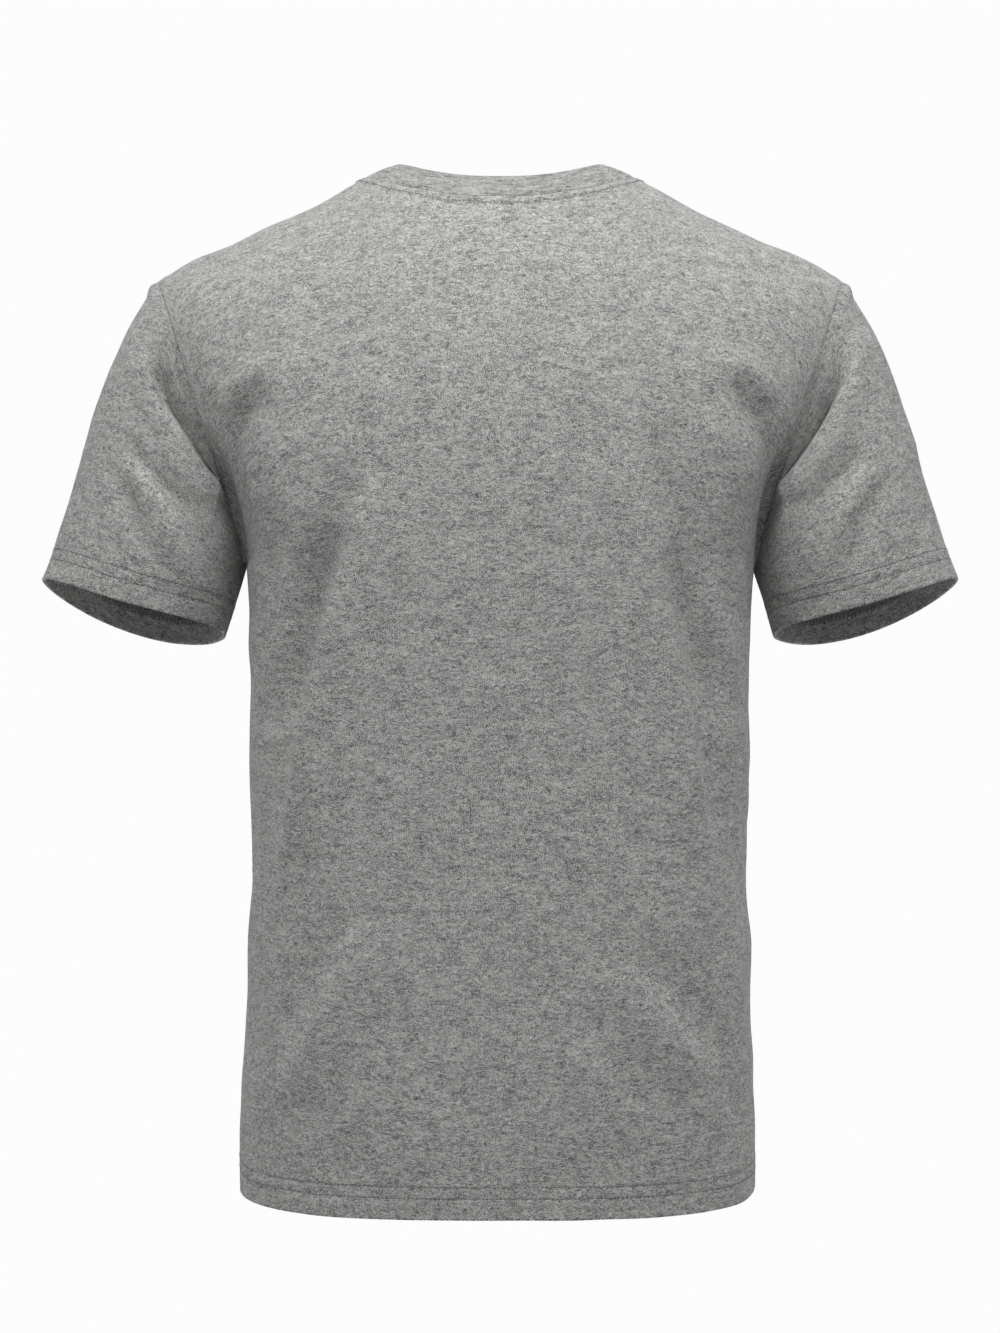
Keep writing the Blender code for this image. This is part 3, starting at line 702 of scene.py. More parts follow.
def cuff(down, way):
    """Places on the cuff's edge, from its inner end, where down is -1, to its outer end at 1."""
    outer, inner = np.array(CUFF_OUTER), np.array(CUFF_INNER)
    foot = (outer + inner) / 2 + down[:, None] * (outer - inner) / 2
    y = way * CUFF_HALF_DEPTH * super_root(np.abs(down), CUFF_POWER)
    z = foot[:, 1] + CUFF_TILT * y - CUFF_SAG * (1 - down**2)
    return np.stack([foot[:, 0], y, z], axis=1)


def sleeve_form(side):
    """Rings from the cuff's folded edge up to the armhole. A ring starts at the underarm and passes
    the back, the shoulder and the front."""
    behind = along(armhole(np.linspace(1, 0, CURVE_STEPS), BACK), np.linspace(0, 1, SLEEVE_COLUMNS[0] + 1))
    before = along(armhole(np.linspace(0, 1, CURVE_STEPS), FRONT), np.linspace(0, 1, SLEEVE_COLUMNS[1] + 1))
    head = np.concatenate([behind[:-1], before[:-1] * (1, -1, 1)])
    head[[0, SLEEVE_COLUMNS[0]], 1] = 0.0
    way = np.where(np.arange(len(head)) <= SLEEVE_COLUMNS[0], 1, -1)
    run_off = np.zeros_like(head)
    for form, face, rows in ((back_form, BACK, way > 0), (front_form, FRONT, way < 0)):
        z, ways = armhole_run_off(form, side, UNDERARM_ROW[face["name"]])
        run_off[rows] = read_off(head[rows, 2], z, ways)
    run_off[[0, SLEEVE_COLUMNS[0]], 1] = 0.0
    run_off = unit(run_off)
    down = np.clip((head[:, 2] - (SHOULDER[1] + UNDERARM[1]) / 2) * 2 / (SHOULDER[1] - UNDERARM[1]), -1, 1)
    foot = cuff(down, way)
    length = np.linalg.norm(foot - head, axis=1)
    near, far = np.outer(SLEEVE_EDGE, 1 / length), 1 - np.outer(HEM_ROWS[::-1], 1 / length)
    between = np.linspace(0, 1, SLEEVE_RINGS + 2)[1:-1, None]
    shares = np.concatenate([near, near[-1] + (far[0] - near[-1]) * between, far])
    rings = []
    for w in shares:
        ring = (1 - w[:, None]) * head + w[:, None] * foot
        cap = CAP_BULGE * CAP_SCALE * w * (1 - w) ** CAP_FADE * np.maximum(down, 0.0) ** 1.5
        ring = ring + cap[:, None] * CAP_WAY
        drop, lean = sleeve_fold(ring)
        free = (way > 0) * np.minimum(1.0, w / FOLD_FROM)
        ring[:, 1] += SLEEVE_BULGE * np.sin(np.pi * w) * (1 - down**2) * way - drop * free
        ring[:, 0] -= lean * free
        lead = ring - head
        reach = np.linalg.norm(lead, axis=1, keepdims=True)
        follow = np.clip((lead * run_off).sum(axis=1, keepdims=True) / np.maximum(reach, 1e-9), 0.0, 1.0)
        ring = ring + (run_off * reach - lead) * follow * fade(reach, *SLEEVE_FOLLOW)
        rings.append(ring + SEAM_GAP * run_off)
    form = np.array(rings)[::-1]
    form[..., 1] *= 1 - armpit(form, run_back(form))
    return form * (side, 1, 1)


# %% [markdown]
# The finished sleeve gets creases of its own, again listed one by one. They fan out from the underarm,
# where the cloth is pushed together. The seam's dip grows deeper down towards the underarm for the
# same reason.

# %% Creases, and the finished sleeves
SLEEVE_DITCH = (0.5, 2.5)         # shares of a seam's dip at the shoulder and at the underarm
SLEEVE_DITCH_DROP = (0.05, 0.17)  # and how far below the shoulder point it goes from one to the other
SLEEVE_CUT = (2.21, 0.83)         # where in the cloth the left one is cut out
CREASE_REACH = 0.010              # a crease dies out this far from the armhole seam
SLEEVE_CREASES = (                # way: 1 is behind the arm, and -1 before it
    # way  start x, z          middle x, z         end x, z            width   height   lean
    (1, (0.2540, -0.1850), (0.2350, -0.2100), (0.2080, -0.2380), 0.0065, -0.0030, 0.0),
    (1, (0.2620, -0.2020), (0.2480, -0.2350), (0.2360, -0.2720), 0.0070, -0.0024, 0.0),
    (1, (0.2560, -0.1980), (0.2310, -0.2350), (0.2100, -0.2900), 0.0085, 0.0038, 0.0),
    (1, (0.2310, -0.1840), (0.2160, -0.2050), (0.2000, -0.2280), 0.0060, 0.0018, 0.0),
    (1, (0.2850, -0.1900), (0.2870, -0.2200), (0.2830, -0.2550), 0.0080, -0.0012, 0.0),
    (1, (-0.2520, -0.1830), (-0.2330, -0.2080), (-0.2070, -0.2340), 0.0065, -0.0028, 0.0),
    (1, (-0.2640, -0.2060), (-0.2500, -0.2370), (-0.2390, -0.2760), 0.0072, -0.0022, 0.0),
    (1, (-0.2570, -0.2010), (-0.2330, -0.2370), (-0.2120, -0.2900), 0.0085, 0.0035, 0.0),
    (1, (-0.2300, -0.1820), (-0.2150, -0.2020), (-0.2010, -0.2250), 0.0060, 0.0020, 0.0),
    (1, (-0.2830, -0.1850), (-0.2860, -0.2150), (-0.2850, -0.2500), 0.0080, -0.0013, 0.0),
    (-1, (0.2520, -0.1900), (0.2300, -0.2200), (0.2080, -0.2500), 0.0080, -0.0026, 0.0),
    (-1, (0.2600, -0.1650), (0.2380, -0.1850), (0.2180, -0.2150), 0.0090, 0.0022, 0.0),
    (-1, (-0.2480, -0.1800), (-0.2280, -0.2120), (-0.2060, -0.2430), 0.0080, -0.0028, 0.0),
    (-1, (-0.2650, -0.1750), (-0.2450, -0.2050), (-0.2350, -0.2400), 0.0090, 0.0020, 0.0),
)


def sleeve(name, side):
    """A sleeve with its creases and its cuff's hem, and its outer surface for the stitches."""
    form = sleeve_form(side)
    loop = np.concatenate([form, form[:, :1]], axis=1)
    places = cloth_places(loop, 0, SLEEVE_COLUMNS[0], (SLEEVE_CUT[0] * side, SLEEVE_CUT[1]))
    up = run_of(form)
    from_hem, from_seam = up + HEM_FOLD, up[-1] - up
    lower = 1 - fade(SHOULDER[1] - form[..., 2], *SLEEVE_DITCH_DROP)
    share = SLEEVE_DITCH[0] + (SLEEVE_DITCH[1] - SLEEVE_DITCH[0]) * lower
    height = swells(form) + hem_relief(from_hem) + ditch(from_seam, share)
    behind = np.arange(form.shape[1]) <= SLEEVE_COLUMNS[0]
    free = 1 - fade(from_seam, 0.0, CREASE_REACH)
    for way, *crease in SLEEVE_CREASES:
        if crease[0][0] * side > 0:
            height += fold_height(form[..., [0, 2]], *crease) * (behind == (way > 0)) * free
    surface = form + height[..., None] * normals_of(form, side, wrap=True)
    doubled = fade(from_hem, HEM_TOP, HEM_TOP + 0.001)
    thickness = JERSEY + (DOUBLED - JERSEY) * doubled
    rows, _ = wall_rows(surface, places[:, :-1], thickness, side, wrap=True)
    all_places = np.concatenate([places[::-1], [places[0]] * EDGE_TURNS, places])
    return grid_mesh(name, rows, all_places, wrap=True), surface


sleeve_left, left_surface = sleeve("left_sleeve", 1)
sleeve_right, right_surface = sleeve("right_sleeve", -1)
print(len(SLEEVE_CREASES), "creases on the sleeves")

# %% [markdown]
# ## The neckband
#
# A crew neckband is a strip of rib folded double, sewn on a little short so that it pulls up and
# leans in to the neck. Rib is knitted with its wales standing out like fine cords. They are under a
# millimetre wide, but they show at the folded edge, so they are real relief here and not a picture
# of it.

# %% Sizes of the neckband
BAND_TOP_HALF = 0.0705            # half the width of the band's folded edge
BAND_TOP_SIDE_Z = 0.0100          # and its height at the sides, the back and the front
BAND_TOP_BACK_Z = -0.0035
BAND_TOP_FRONT_Z = -0.0735
BAND_LEAN_BACK = 0.72             # depth of the folded edge over the depth of the seam
BAND_LEAN_FRONT = 0.92
BAND_BULGE = 0.0010
RIB = 0.0024                      # thickness of the folded band
BAND_SEAM_SHARE = 0.55            # of it that is left at the seam, where it is sewn down
BAND_SEAM_REACH = 0.08            # share of the band's depth that takes
RIB_WALE = 0.00098                # width of one wale
RIB_RELIEF = 0.00022
RIB_STEPS = 5                     # points across one wale
BAND_STEPS = (0.0, 0.02, 0.06, 0.14, 0.28, 0.44, 0.60, 0.76, 0.88)
BAND_TURNS = 5                    # rows round the folded edge
BAND_SQUARENESS = 0.8             # of the folded edge: 1 is round, and less is squarer


# %% The neck seam
def neck_ring(back_form, front_form):
    """The neck seam round both panels, with the panels' normals there."""
    b, f = back_form.shape[1] // 2, front_form.shape[1] // 2
    behind = slice(b - NECK_COLUMNS, b + NECK_COLUMNS)
    before = slice(f + NECK_COLUMNS, f - NECK_COLUMNS, -1)
    ring = np.concatenate([back_form[-1, behind], front_form[-1, before]])
    out = np.concatenate([normals_of(back_form, 1)[-1, behind], normals_of(front_form, -1)[-1, before]])
    ring[[0, 2 * NECK_COLUMNS], 1] = 0.0
    out[[0, 2 * NECK_COLUMNS], 1] = 0.0
    return ring, unit(out)


# %% The rib neckband
def neckband():
    """The folded band, from its seam to its folded edge and back down inside."""
    ring, ring_out = neck_ring(back_form, front_form)
    loop = closed(ring)
    length = run_of(loop)[-1]
    wales = int(length / RIB_WALE)
    shares = np.arange(wales * RIB_STEPS) / (wales * RIB_STEPS)
    foot = along(loop, shares)
    foot_out = unit(read_off(shares, run_of(loop) / length, closed(ring_out)))
    side_share = np.clip(np.abs(foot[:, 0]) / NECK_HALF, 0.0, 1.0)
    behind = foot[:, 1] >= 0
    level = np.where(behind, BAND_TOP_BACK_Z, BAND_TOP_FRONT_Z)
    droop = np.where(behind, 1 - side_share**NECK_POWER_BACK, super_root(side_share, NECK_POWER_FRONT))
    top_z = BAND_TOP_SIDE_Z + (level - BAND_TOP_SIDE_Z) * droop
    lean = np.where(behind, BAND_LEAN_BACK, BAND_LEAN_FRONT)
    top = np.stack([foot[:, 0] * BAND_TOP_HALF / NECK_HALF, foot[:, 1] * lean, top_z], axis=1)
    top -= unit(top - foot) * RIB / 2
    up = unit(top - foot)
    own_out = unit(np.cross(up, np.roll(top, -3, axis=0) - np.roll(top, 3, axis=0)))
    if (own_out * foot * (1, 1, 0)).sum() < 0:
        own_out = -own_out
    cord = RIB_RELIEF * np.abs(np.cos(np.pi * np.arange(len(foot)) / RIB_STEPS))[:, None]
    start = foot + up * SEAM_GAP
    outer, inner = [], []
    for t in BAND_STEPS:
        out = unit(foot_out * (1 - t) + own_out * t)
        middle = start + (top - start) * t + own_out * (BAND_BULGE * math.sin(math.pi * t) - RIB / 2)
        thickness = RIB * (1 - (1 - BAND_SEAM_SHARE) * fade(t, 0.0, BAND_SEAM_REACH))
        half = thickness / 2 + cord
        outer.append(middle + out * half)
        inner.append(middle - out * half)
    turns = np.pi * np.arange(1, BAND_TURNS + 1) / (BAND_TURNS + 1)
    half = RIB / 2 + cord
    centre = (outer[-1] + inner[-1]) / 2
    reach = np.linalg.norm(top - centre, axis=1, keepdims=True) + RIB / 2 + cord
    fold = [centre + out * half * math.cos(a) + up * reach * math.sin(a) ** BAND_SQUARENESS for a in turns]
    rows = np.array(outer + fold + inner[::-1])
    heights = run_of(rows[:, 0])
    across = np.append(shares, 1.0) * length
    places = np.stack(np.broadcast_arrays(across, heights[:, None]), axis=-1)
    print("neck seam", round(length, 3), "m, folded edge", round(run_of(closed(top))[-1], 3), "m")
    return grid_mesh("rib_neckband", rows, places, wrap=True)


band = neckband()

# %% [markdown]
# ## Thread
#
# The neck seam, the hem and the cuffs are sewn with a coverstitch: two needle rows on the outside,
# and a looper thread that zigzags between them on the inside. Curves with a bevel would do for one
# row. There are some four thousand stitches, so each is a short bent tube, and all the tubes of a
# seam are computed at once and joined in one mesh.

# %% Sizes of the thread and the stitches
THREAD = 0.00027                  # radius
LOOPER_THREAD = 0.0002
LONGEST_LOOP = 0.02               # a longer one would join a row's last stitch to its first
STITCH_LENGTH = 0.0029
NECK_STITCH_LENGTH = 0.0026
STITCH_SHARE = 0.80               # of its length that a stitch shows
HEM_END = 4                       # the hem's rows of stitches stop so many columns from the side seam
NECK_SPOTS = 600                  # places round the neck where a row of stitches is laid on the cloth
PROBE = 0.003                     # how far out and in such a place is looked for
TUBE_SIDES = 5
TUBE_STEPS = (                    # share of a stitch, and its lift there, in radii
    (0.0, -1.5), (0.12, 0.2), (0.35, 0.75), (0.65, 0.75), (0.88, 0.2), (1.0, -1.5),
)


# %% Stitches as joined meshes
def tubes(name, starts, ends, normals, radius):
    """One bent tube from each start to its end. It rises out of the cloth and goes back in."""
    reach = unit(ends - starts)
    side = unit(np.cross(reach, normals))
    out = unit(np.cross(side, reach))
    sections = []
    for t, lift in TUBE_STEPS:
        centre = starts + (ends - starts) * t + out * lift * radius
        for k in range(TUBE_SIDES):
            a = 2 * math.pi * k / TUBE_SIDES
            sections.append(centre + radius * (side * math.cos(a) + out * math.sin(a)))
    points = np.array(sections).reshape(len(TUBE_STEPS), TUBE_SIDES, len(starts), 3).transpose(2, 0, 1, 3)
    index = np.arange(points[..., 0].size).reshape(points.shape[:3])
    turned = np.roll(index, -1, axis=2)
    sides = np.stack([index[:, :-1], index[:, 1:], turned[:, 1:], turned[:, :-1]], axis=-1).reshape(-1, 4)
    caps = np.concatenate([index[:, 0], index[:, -1, ::-1]])
    mesh = bpy.data.meshes.new(name)
    mesh.from_pydata(points.reshape(-1, 3), [], sides.tolist() + caps.tolist())
    mesh.shade_smooth()
    mesh.update()
    made = bpy.data.objects.new(name, mesh)
    bpy.context.scene.collection.objects.link(made)
    print(name, len(starts), "stitches", len(sides) * 2 + len(caps) * 4, "triangles")
    return made


def stitch_ends(line, normals, all_round, shift=0.0, pitch=STITCH_LENGTH, share=STITCH_SHARE):
    """Starts, ends and normals of the stitches along a line, which may go all round."""
    if all_round:
        line, normals = closed(line), closed(normals)
    run = run_of(line)
    count = int(run[-1] / pitch)
    starts = (np.arange(count) + shift) * run[-1] / count
    ends = starts + share * run[-1] / count

    def at(lengths, values):
        return read_off(lengths % run[-1], run, values)

    return at(starts, line), at(ends, line), unit(at((starts + ends) / 2, normals))


# %% Rows of stitches on the hems
def joined(parts):
    """The starts, the ends and the normals of several rows of stitches together."""
    return [np.concatenate(arrays) for arrays in zip(*parts)]


def hem_line(surface, way, all_round, height, inside=False):
    """The line of a stitch row at a height above the hem's edge, on the outer or the inner face."""
    index = HEM_ROWS.index(height)
    out = normals_of(surface, way, all_round)[index]
    line = surface[index]
    if inside:
        line, out = line - out * DOUBLED, -out
    if all_round:
        return line, out
    return line[HEM_END:-HEM_END], out[HEM_END:-HEM_END]


def hem_rows(parts):
    """Needle rows on the outside of hems. parts: surface, way, and whether the hem goes all round."""
    made = []
    for surface, way, all_round in parts:
        for n, height in enumerate(HEM_STITCHES):
            line, out = hem_line(surface, way, all_round, height)
            made.append(stitch_ends(line, out, all_round, shift=0.5 * n))
    return joined(made)


def looper_rows(parts):
    """The looper's zigzag on the inside of hems, between the two needle rows, and its chain of
    loops along each of them."""
    made = []
    for surface, way, all_round in parts:
        lines = [hem_line(surface, way, all_round, height, inside=True) for height in HEM_STITCHES]
        low, high = (stitch_ends(line, out, all_round, share=0.5) for line, out in lines)
        count = min(len(low[0]), len(high[0]))
        low, high = [a[:count] for a in low], [a[:count] for a in high]
        made.append((low[0], high[1], low[2]))
        made.append((high[1], np.roll(low[0], -1, axis=0), high[2]))
        made += [tuple(low), tuple(high)]
    starts, ends, normals = joined(made)
    short = np.linalg.norm(ends - starts, axis=1) < LONGEST_LOOP
    return starts[short], ends[short], normals[short]


# %% Rows of stitches along the neck seam
def neck_rows():
    """Needle rows on the panels along the neck seam, laid on the finished surfaces."""
    trees = []
    for piece in (back, front):
        corners = [vertex.co for vertex in piece.data.vertices]
        trees.append(BVHTree.FromPolygons(corners, [face.vertices for face in piece.data.polygons]))
    ring, ring_out = neck_ring(back_form, front_form)
    run = run_of(closed(ring))
    places = np.arange(NECK_SPOTS) / NECK_SPOTS * run[-1]
    line = read_off(places, run, closed(ring))
    outs = unit(read_off(places, run, closed(ring_out)))
    tangent = unit(np.roll(line, -1, axis=0) - np.roll(line, 1, axis=0))
    away = unit(np.cross(tangent, outs))
    if (away * line * (1, 1, 0)).sum() < 0:
        away = -away
    made = []
    for n, distance in enumerate(NECK_STITCHES):
        spots, normals = [], []
        for place, outward in zip(line + away * distance + outs * PROBE, outs):
            tree = trees[0] if place[1] >= 0 else trees[1]
            spot, normal, _, _ = tree.ray_cast(Vector(place), -Vector(outward), 2 * PROBE)
            if spot is None:
                spot, normal, _, _ = tree.find_nearest(Vector(place))
            spots.append(spot)
            normals.append(normal if normal.dot(Vector(outward)) > 0 else Vector(outward))
        spots, normals = np.array(spots), np.array(normals)
        made.append(stitch_ends(spots, normals, True, shift=0.5 * n, pitch=NECK_STITCH_LENGTH))
    return joined(made)


# %% All the thread of the shirt
body_hem = ((back_surface, BACK["way"], False), (front_surface, FRONT["way"], False))
left_cuff, right_cuff = ((left_surface, 1, True),), ((right_surface, -1, True),)
hem_thread = tubes("hem_stitches", *hem_rows(body_hem), THREAD)
hem_looper = tubes("hem_looper_thread", *looper_rows(body_hem), LOOPER_THREAD)
neck_thread = tubes("neck_stitches", *neck_rows(), THREAD)
left_thread = tubes("left_cuff_stitches", *hem_rows(left_cuff), THREAD)
right_thread = tubes("right_cuff_stitches", *hem_rows(right_cuff), THREAD)
left_looper = tubes("left_cuff_looper_thread", *looper_rows(left_cuff), LOOPER_THREAD)
right_looper = tubes("right_cuff_looper_thread", *looper_rows(right_cuff), LOOPER_THREAD)

# %% [markdown]
# ## Node groups for the knit
#
# Heather yarn is spun from fibres dyed dark and fibres left pale, mixed unevenly. Knitted up, one
# yarn makes one course, so its dark and pale stretches show as streaks a single course high and some
# millimetres long. A plain noise would be cloudy. Here the height is first cut into courses, which
# wander a little, and each course then reads its own line of noise. Specks finer than a loop, single
# stray loops and faint clouds are added to it. The group is used by the jersey and the rib.

# %% Small helpers for nodes
def place_node(tree, kind, inputs=(), **settings):
    """A node with its settings. inputs are (socket, value or other node's socket) pairs."""
    made = tree.nodes.new(kind)
    for name, value in settings.items():
        setattr(made, name, value)
    for socket, value in inputs:
        if isinstance(value, bpy.types.NodeSocket):
            tree.links.new(value, made.inputs[socket])
        else:
            made.inputs[socket].default_value = value
    return made


def maths(tree, operation, *values):
    made = place_node(tree, "ShaderNodeMath", enumerate(values), operation=operation)
    return made.outputs[0]


def mix_colours(tree, share, first, second):
    """A blend of two colours. On this node 6 and 7 are the colours, and output 2 is their blend."""
    made = place_node(tree, "ShaderNodeMix", ((0, share), (6, first), (7, second)), data_type="RGBA")
    return made.outputs[2]


def noise(tree, across, up, detail, roughness):
    """Noise at a place given by two numbers, one unit for each feature."""
    place = place_node(tree, "ShaderNodeCombineXYZ", ((0, across), (1, up)))
    made = place_node(tree, "ShaderNodeTexNoise", (
        ("Vector", place.outputs[0]), ("Scale", 1.0), ("Detail", detail), ("Roughness", roughness),
    ), noise_dimensions="2D")
    return made.outputs["Fac"]


def new_group(name, inputs, outputs):
    """An empty shader node group. inputs are (name, kind, default), outputs are (name, kind)."""
    group = bpy.data.node_groups.new(name, "ShaderNodeTree")
    for label, kind, default in inputs:
        socket = group.interface.new_socket(label, in_out="INPUT", socket_type=kind)
        if default is not None:
            socket.default_value = default
    for label, kind in outputs:
        group.interface.new_socket(label, in_out="OUTPUT", socket_type=kind)
    return group, group.nodes.new("NodeGroupInput").outputs, group.nodes.new("NodeGroupOutput").inputs


# %% The heather yarn
def heather_group():
    number, colour = "NodeSocketFloat", "NodeSocketColor"
    group, given, result = new_group("heather yarn", (
        ("Place", "NodeSocketVector", None),
        ("Course Height", number, 0.0008),
        ("Streak Length", number, 0.0035),
        ("Wander", number, 0.0020),
        ("Contrast", number, 1.0),
        ("Dark Fibre", colour, (0.10, 0.10, 0.10, 1)),
        ("Pale Fibre", colour, (0.60, 0.60, 0.60, 1)),
    ), (("Color", colour), ("Marl", number)))
    split = place_node(group, "ShaderNodeSeparateXYZ", ((0, given["Place"]),)).outputs
    across, up = split[0], split[1]

    def grain(each_way, each_up, detail, roughness):
        """Noise with so many features in a metre of cloth, across and up."""
        place = maths(group, "MULTIPLY", across, each_way), maths(group, "MULTIPLY", up, each_up)
        return noise(group, *place, detail, roughness)

    near = grain(210.0, 300.0, 1.0, 0.5)
    bend = maths(group, "MULTIPLY", maths(group, "SUBTRACT", near, 0.5), given["Wander"])
    bent_up = maths(group, "MULTIPLY_ADD", bend, 2.0, up)
    course = maths(group, "DIVIDE", bent_up, given["Course Height"])
    line = maths(group, "FLOOR", course)
    share = maths(group, "DIVIDE", across, given["Streak Length"])
    short = noise(group, share, maths(group, "MULTIPLY", line, 7.31), 2.0, 0.75)
    far = maths(group, "ADD", maths(group, "MULTIPLY", line, 3.17), 57.0)
    long = noise(group, maths(group, "MULTIPLY", share, 0.30), far, 1.0, 0.5)
    speck = grain(1500.0, 1700.0, 1.0, 0.6)
    loop = maths(group, "FLOOR", maths(group, "MULTIPLY", maths(group, "ADD", across, bend), 1100.0))
    spot = place_node(group, "ShaderNodeCombineXYZ", ((0, loop), (1, line))).outputs[0]
    white = place_node(group, "ShaderNodeTexWhiteNoise", (("Vector", spot),), noise_dimensions="2D")
    cloud = grain(70.0, 110.0, 2.0, 0.5)
    total = 0.0
    for value, weight in ((short, 1.85), (long, 0.85), (speck, 2.8), (white.outputs["Value"], 0.12),
                          (cloud, 0.34)):
        total = maths(group, "MULTIPLY_ADD", maths(group, "SUBTRACT", value, 0.5), weight, total)
    marl = maths(group, "MULTIPLY_ADD", total, given["Contrast"], 0.5)
    marl = place_node(group, "ShaderNodeClamp", ((0, marl),)).outputs[0]
    group.links.new(mix_colours(group, marl, given["Dark Fibre"], given["Pale Fibre"]), result["Color"])
    group.links.new(marl, result["Marl"])
    return group


# %% [markdown]
# Jersey's face is columns of small V shapes, one for each loop. They are too small to model: one
# square centimetre has about a hundred and forty. A bump gives them: the two legs of each V lean
# opposite ways, so the height is a wave along the course that is shifted by the distance from the
# wale's middle.

# %% The knitted loops
def loops_group():
    number = "NodeSocketFloat"
    group, given, result = new_group("knitted loops", (
        ("Place", "NodeSocketVector", None),
        ("Wale Width", number, 0.0009),
        ("Course Height", number, 0.0008),
    ), (("Height", number),))
    split = place_node(group, "ShaderNodeSeparateXYZ", ((0, given["Place"]),)).outputs
    wale = maths(group, "PINGPONG", maths(group, "DIVIDE", split[0], given["Wale Width"]), 0.5)
    leg = maths(group, "SINE", maths(group, "MULTIPLY", wale, 2 * math.pi))
    course = maths(group, "DIVIDE", split[1], given["Course Height"])
    tilted = maths(group, "ADD", course, wale)
    ripple = maths(group, "SINE", maths(group, "MULTIPLY", tilted, 2 * math.pi))
    height = maths(group, "MULTIPLY_ADD", ripple, 0.35, leg)
    group.links.new(height, result["Height"])
    return group


heather, loops = heather_group(), loops_group()

# %% [markdown]
# ## Materials
#
# Cotton jersey is matt, with a faint bloom at grazing angles from the fibre ends that stand off it.
# So its roughness is high, and a little sheen does the bloom. Rib is the same yarn in another knit,
# and sewing thread is smoother and a touch shinier.

# %% Jersey and rib
def cloth_material(name, dark, pale, course, streak, contrast, bump):
    """A knit with its yarn's two colours, its courses' height and the length of the yarn's streaks."""
    material = bpy.data.materials.new(name)
    material.use_nodes = True
    tree = material.node_tree
    shader = tree.nodes["Principled BSDF"]
    shader.inputs["Roughness"].default_value = 0.92
    shader.inputs["Specular IOR Level"].default_value = 0.25
    shader.inputs["Sheen Weight"].default_value = 0.12
    shader.inputs["Sheen Roughness"].default_value = 0.55
    place = place_node(tree, "ShaderNodeUVMap", uv_map="cloth").outputs[0]
    marl = place_node(tree, "ShaderNodeGroup", (
        ("Place", place), ("Course Height", course), ("Streak Length", streak), ("Contrast", contrast),
        ("Dark Fibre", dark), ("Pale Fibre", pale),
    ), node_tree=heather)
    tree.links.new(marl.outputs["Color"], shader.inputs["Base Color"])
    knit = place_node(tree, "ShaderNodeGroup", (
        ("Place", place), ("Course Height", course),
    ), node_tree=loops)
    height = maths(tree, "MULTIPLY_ADD", marl.outputs["Marl"], 0.8, knit.outputs["Height"])
    relief = (("Height", height), ("Strength", bump), ("Distance", 0.0002))
    raised = place_node(tree, "ShaderNodeBump", relief)
    tree.links.new(raised.outputs[0], shader.inputs["Normal"])
    return material


jersey = cloth_material("heather_jersey", (0.105, 0.104, 0.102, 1), (0.64, 0.635, 0.62, 1),
                        course=0.0008, streak=0.0036, contrast=1.0, bump=0.5)
rib = cloth_material("heather_rib", (0.10, 0.099, 0.097, 1), (0.53, 0.525, 0.51, 1),
                     course=0.0009, streak=0.0100, contrast=1.1, bump=0.4)

# %% Thread, and which piece has which
thread = bpy.data.materials.new("grey_thread")
thread.use_nodes = True
thread_tree = thread.node_tree
thread_shader = thread_tree.nodes["Principled BSDF"]
thread_shader.inputs["Roughness"].default_value = 0.6
thread_shader.inputs["Sheen Weight"].default_value = 0.1
thread_place = place_node(thread_tree, "ShaderNodeTexCoord").outputs["Object"]
shade = place_node(thread_tree, "ShaderNodeTexNoise", (
    ("Vector", thread_place), ("Scale", 900.0), ("Detail", 1.0),
)).outputs["Fac"]
tint = mix_colours(thread_tree, shade, (0.06, 0.059, 0.058, 1), (0.22, 0.218, 0.213, 1))
thread_tree.links.new(tint, thread_shader.inputs["Base Color"])

for piece in (back, front, sleeve_left, sleeve_right):
    piece.data.materials.append(jersey)
band.data.materials.append(rib)
threads = (hem_thread, hem_looper, neck_thread, left_thread, right_thread, left_looper, right_looper)
for piece in threads:
    piece.data.materials.append(thread)
print("materials:", jersey.name, rib.name, thread.name)

# %% [markdown]
# ## What each piece is in the frame
#
# Every piece rides on the frame's one body, and each cloth piece stands for its solid.

# %% Ride and replace
cloths = (
    # piece        node            slot      area  flat size      its thread
    (back, "back", "jersey", 0.34, (0.56, 0.75), [hem_thread, hem_looper, neck_thread]),
    (front, "front", "jersey", 0.33, (0.56, 0.70), []),
    (sleeve_left, "sleeve_left", "jersey", 0.062, (0.43, 0.22), [left_thread, left_looper]),
    (sleeve_right, "sleeve_right", "jersey", 0.062, (0.43, 0.22), [right_thread, right_looper]),
)
for piece, node, slot, area, flat, own_thread in cloths:
    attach(piece, "root")
    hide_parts(node)
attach(band, "root")
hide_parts("neckband")
for piece in threads:
    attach(piece, "root")
print(len(cloths) + 1, "pieces of cloth,", len(threads), "of thread")

# %% [markdown]
# ## Floor, light and camera
#
# The shirt hangs where a wearer would hold it, so the floor is well below it. It is a pale disc that
# fades out, so that no horizon shows.

# %% Floor
FLOOR_Z = -1.25
FLOOR_RADIUS = 2.6
FLOOR_FADE = (0.7, 0.97 * FLOOR_RADIUS)     # from where it fades, and where it is gone
bpy.ops.mesh.primitive_circle_add(vertices=96, radius=FLOOR_RADIUS, fill_type="NGON")
floor = bpy.context.object
floor.location = (0, 0, FLOOR_Z)
floor.name = "floor"
pale = bpy.data.materials.new("pale_floor")
pale.use_nodes = True
pale_tree = pale.node_tree
pale_shader = pale_tree.nodes["Principled BSDF"]
pale_shader.inputs["Base Color"].default_value = (0.86, 0.86, 0.86, 1)
pale_shader.inputs["Roughness"].default_value = 0.9
pale_shader.inputs["Specular IOR Level"].default_value = 0.1
floor_place = place_node(pale_tree, "ShaderNodeTexCoord").outputs["Object"]
length = place_node(pale_tree, "ShaderNodeVectorMath", ((0, floor_place),), operation="LENGTH")
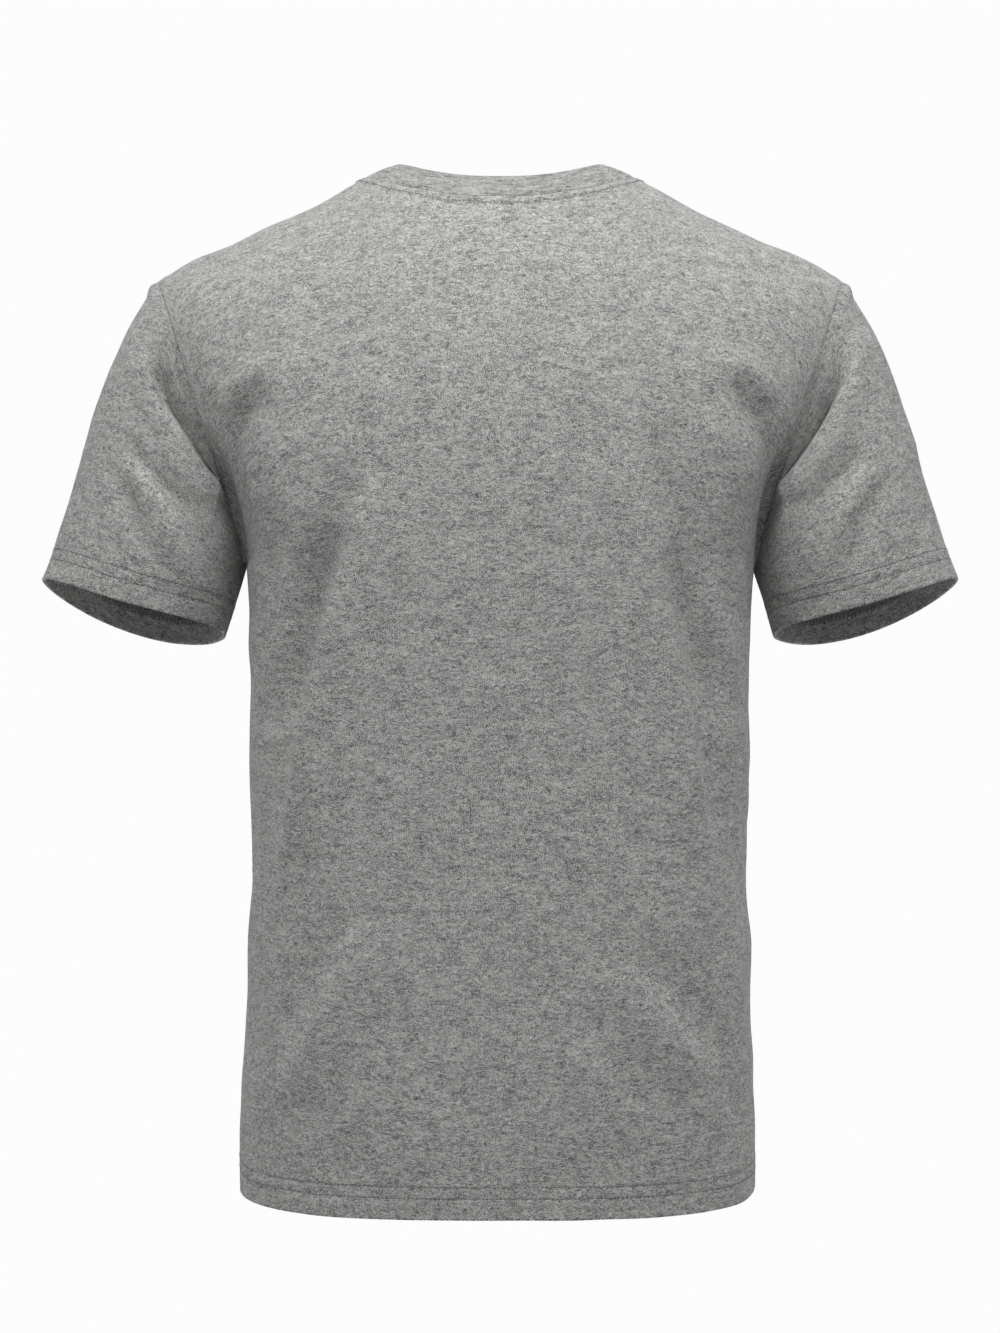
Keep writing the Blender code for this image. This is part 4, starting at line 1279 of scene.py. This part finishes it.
fading = place_node(pale_tree, "ShaderNodeMapRange", (
    ("Value", length.outputs["Value"]), ("From Min", FLOOR_FADE[0]), ("From Max", FLOOR_FADE[1]),
    ("To Min", 1.0), ("To Max", 0.0),
), interpolation_type="SMOOTHSTEP")
pale_tree.links.new(fading.outputs[0], pale_shader.inputs["Alpha"])
floor.data.materials.append(pale)

# %% [markdown]
# Light from everywhere would wash the folds out. So two soft boxes do most of it: a large one over
# the shirt and a smaller one lower down, both on the side of its back. The surroundings are dim on
# that side and brighter to the sides and beyond the front, which gives the edges a rim and leaves the
# folds their shadows. The camera itself sees the surroundings as plain white: a Light Path node
# tells its rays from the others.

# %% Surroundings
WHITE = (0.98, 0.98, 0.98, 1)
ALL_ROUND = 0.06                  # brightness of the surroundings
FROM_SIDES = 0.50                 # what is added to the left and right
FROM_FRONT = 0.80                 # and beyond the shirt's front
world = bpy.data.worlds.new("white studio")
bpy.context.scene.world = world
world.use_nodes = True
sky = world.node_tree
background = sky.nodes["Background"]
looking = place_node(sky, "ShaderNodeLightPath").outputs["Is Camera Ray"]
ray_way = place_node(sky, "ShaderNodeTexCoord").outputs["Generated"]
ray = place_node(sky, "ShaderNodeSeparateXYZ", ((0, ray_way),)).outputs
forwards = maths(sky, "MAXIMUM", maths(sky, "MULTIPLY", ray[1], -FROM_FRONT), 0.0)
sideways = maths(sky, "MULTIPLY", maths(sky, "MULTIPLY", ray[0], ray[0]), FROM_SIDES)
glow = maths(sky, "ADD", maths(sky, "ADD", forwards, sideways), ALL_ROUND)
light_colour = place_node(sky, "ShaderNodeCombineColor", ((0, glow), (1, glow), (2, glow))).outputs[0]
sky.links.new(mix_colours(sky, looking, light_colour, WHITE), background.inputs["Color"])
background.inputs["Strength"].default_value = 1.0

# %% Soft boxes
SOFTBOXES = (
    # name       place             size x, y    watts
    ("top box", (0.0, 0.8, 1.7), (2.2, 1.2), 13.6),
    ("key box", (0.0, 0.9, 0.9), (1.6, 0.8), 18.6),
)
MIDDLE = Vector((0, 0, -0.3))
for name, spot_at, size, power in SOFTBOXES:
    lamp = bpy.data.lights.new(name, "AREA")
    lamp.shape, lamp.size, lamp.size_y, lamp.energy = "RECTANGLE", size[0], size[1], power
    box = bpy.data.objects.new(name, lamp)
    box.location = spot_at
    box.rotation_mode = "QUATERNION"
    box.rotation_quaternion = (MIDDLE - box.location).to_track_quat("-Z", "Y")
    bpy.context.scene.collection.objects.link(box)
    print(name, power, "W,", round((MIDDLE - box.location).length, 2), "m from the shirt")

# %% [markdown]
# The camera looks at the shirt's back, level and from a few steps away, so that the hem and the
# shoulders are hardly in perspective. Its lens follows from the height that the picture takes in.
# The Standard view transform keeps a white background white.

# %% Camera
VIEW_DISTANCE = 2.5
VIEW_HEIGHT = 0.9264              # metres of the middle plane from the picture's bottom to its top
VIEW_CENTRE_Z = -0.3381
camera = bpy.data.objects.new("camera", bpy.data.cameras.new("camera"))
bpy.context.scene.collection.objects.link(camera)
camera.location = (0.0, VIEW_DISTANCE, VIEW_CENTRE_Z)
camera.rotation_euler = (math.radians(90), 0, math.radians(180))
camera.data.lens = camera.data.sensor_width * VIEW_DISTANCE / VIEW_HEIGHT
bpy.context.scene.camera = camera
bpy.context.scene.view_settings.view_transform = "Standard"
print("lens", round(camera.data.lens, 1), "mm")
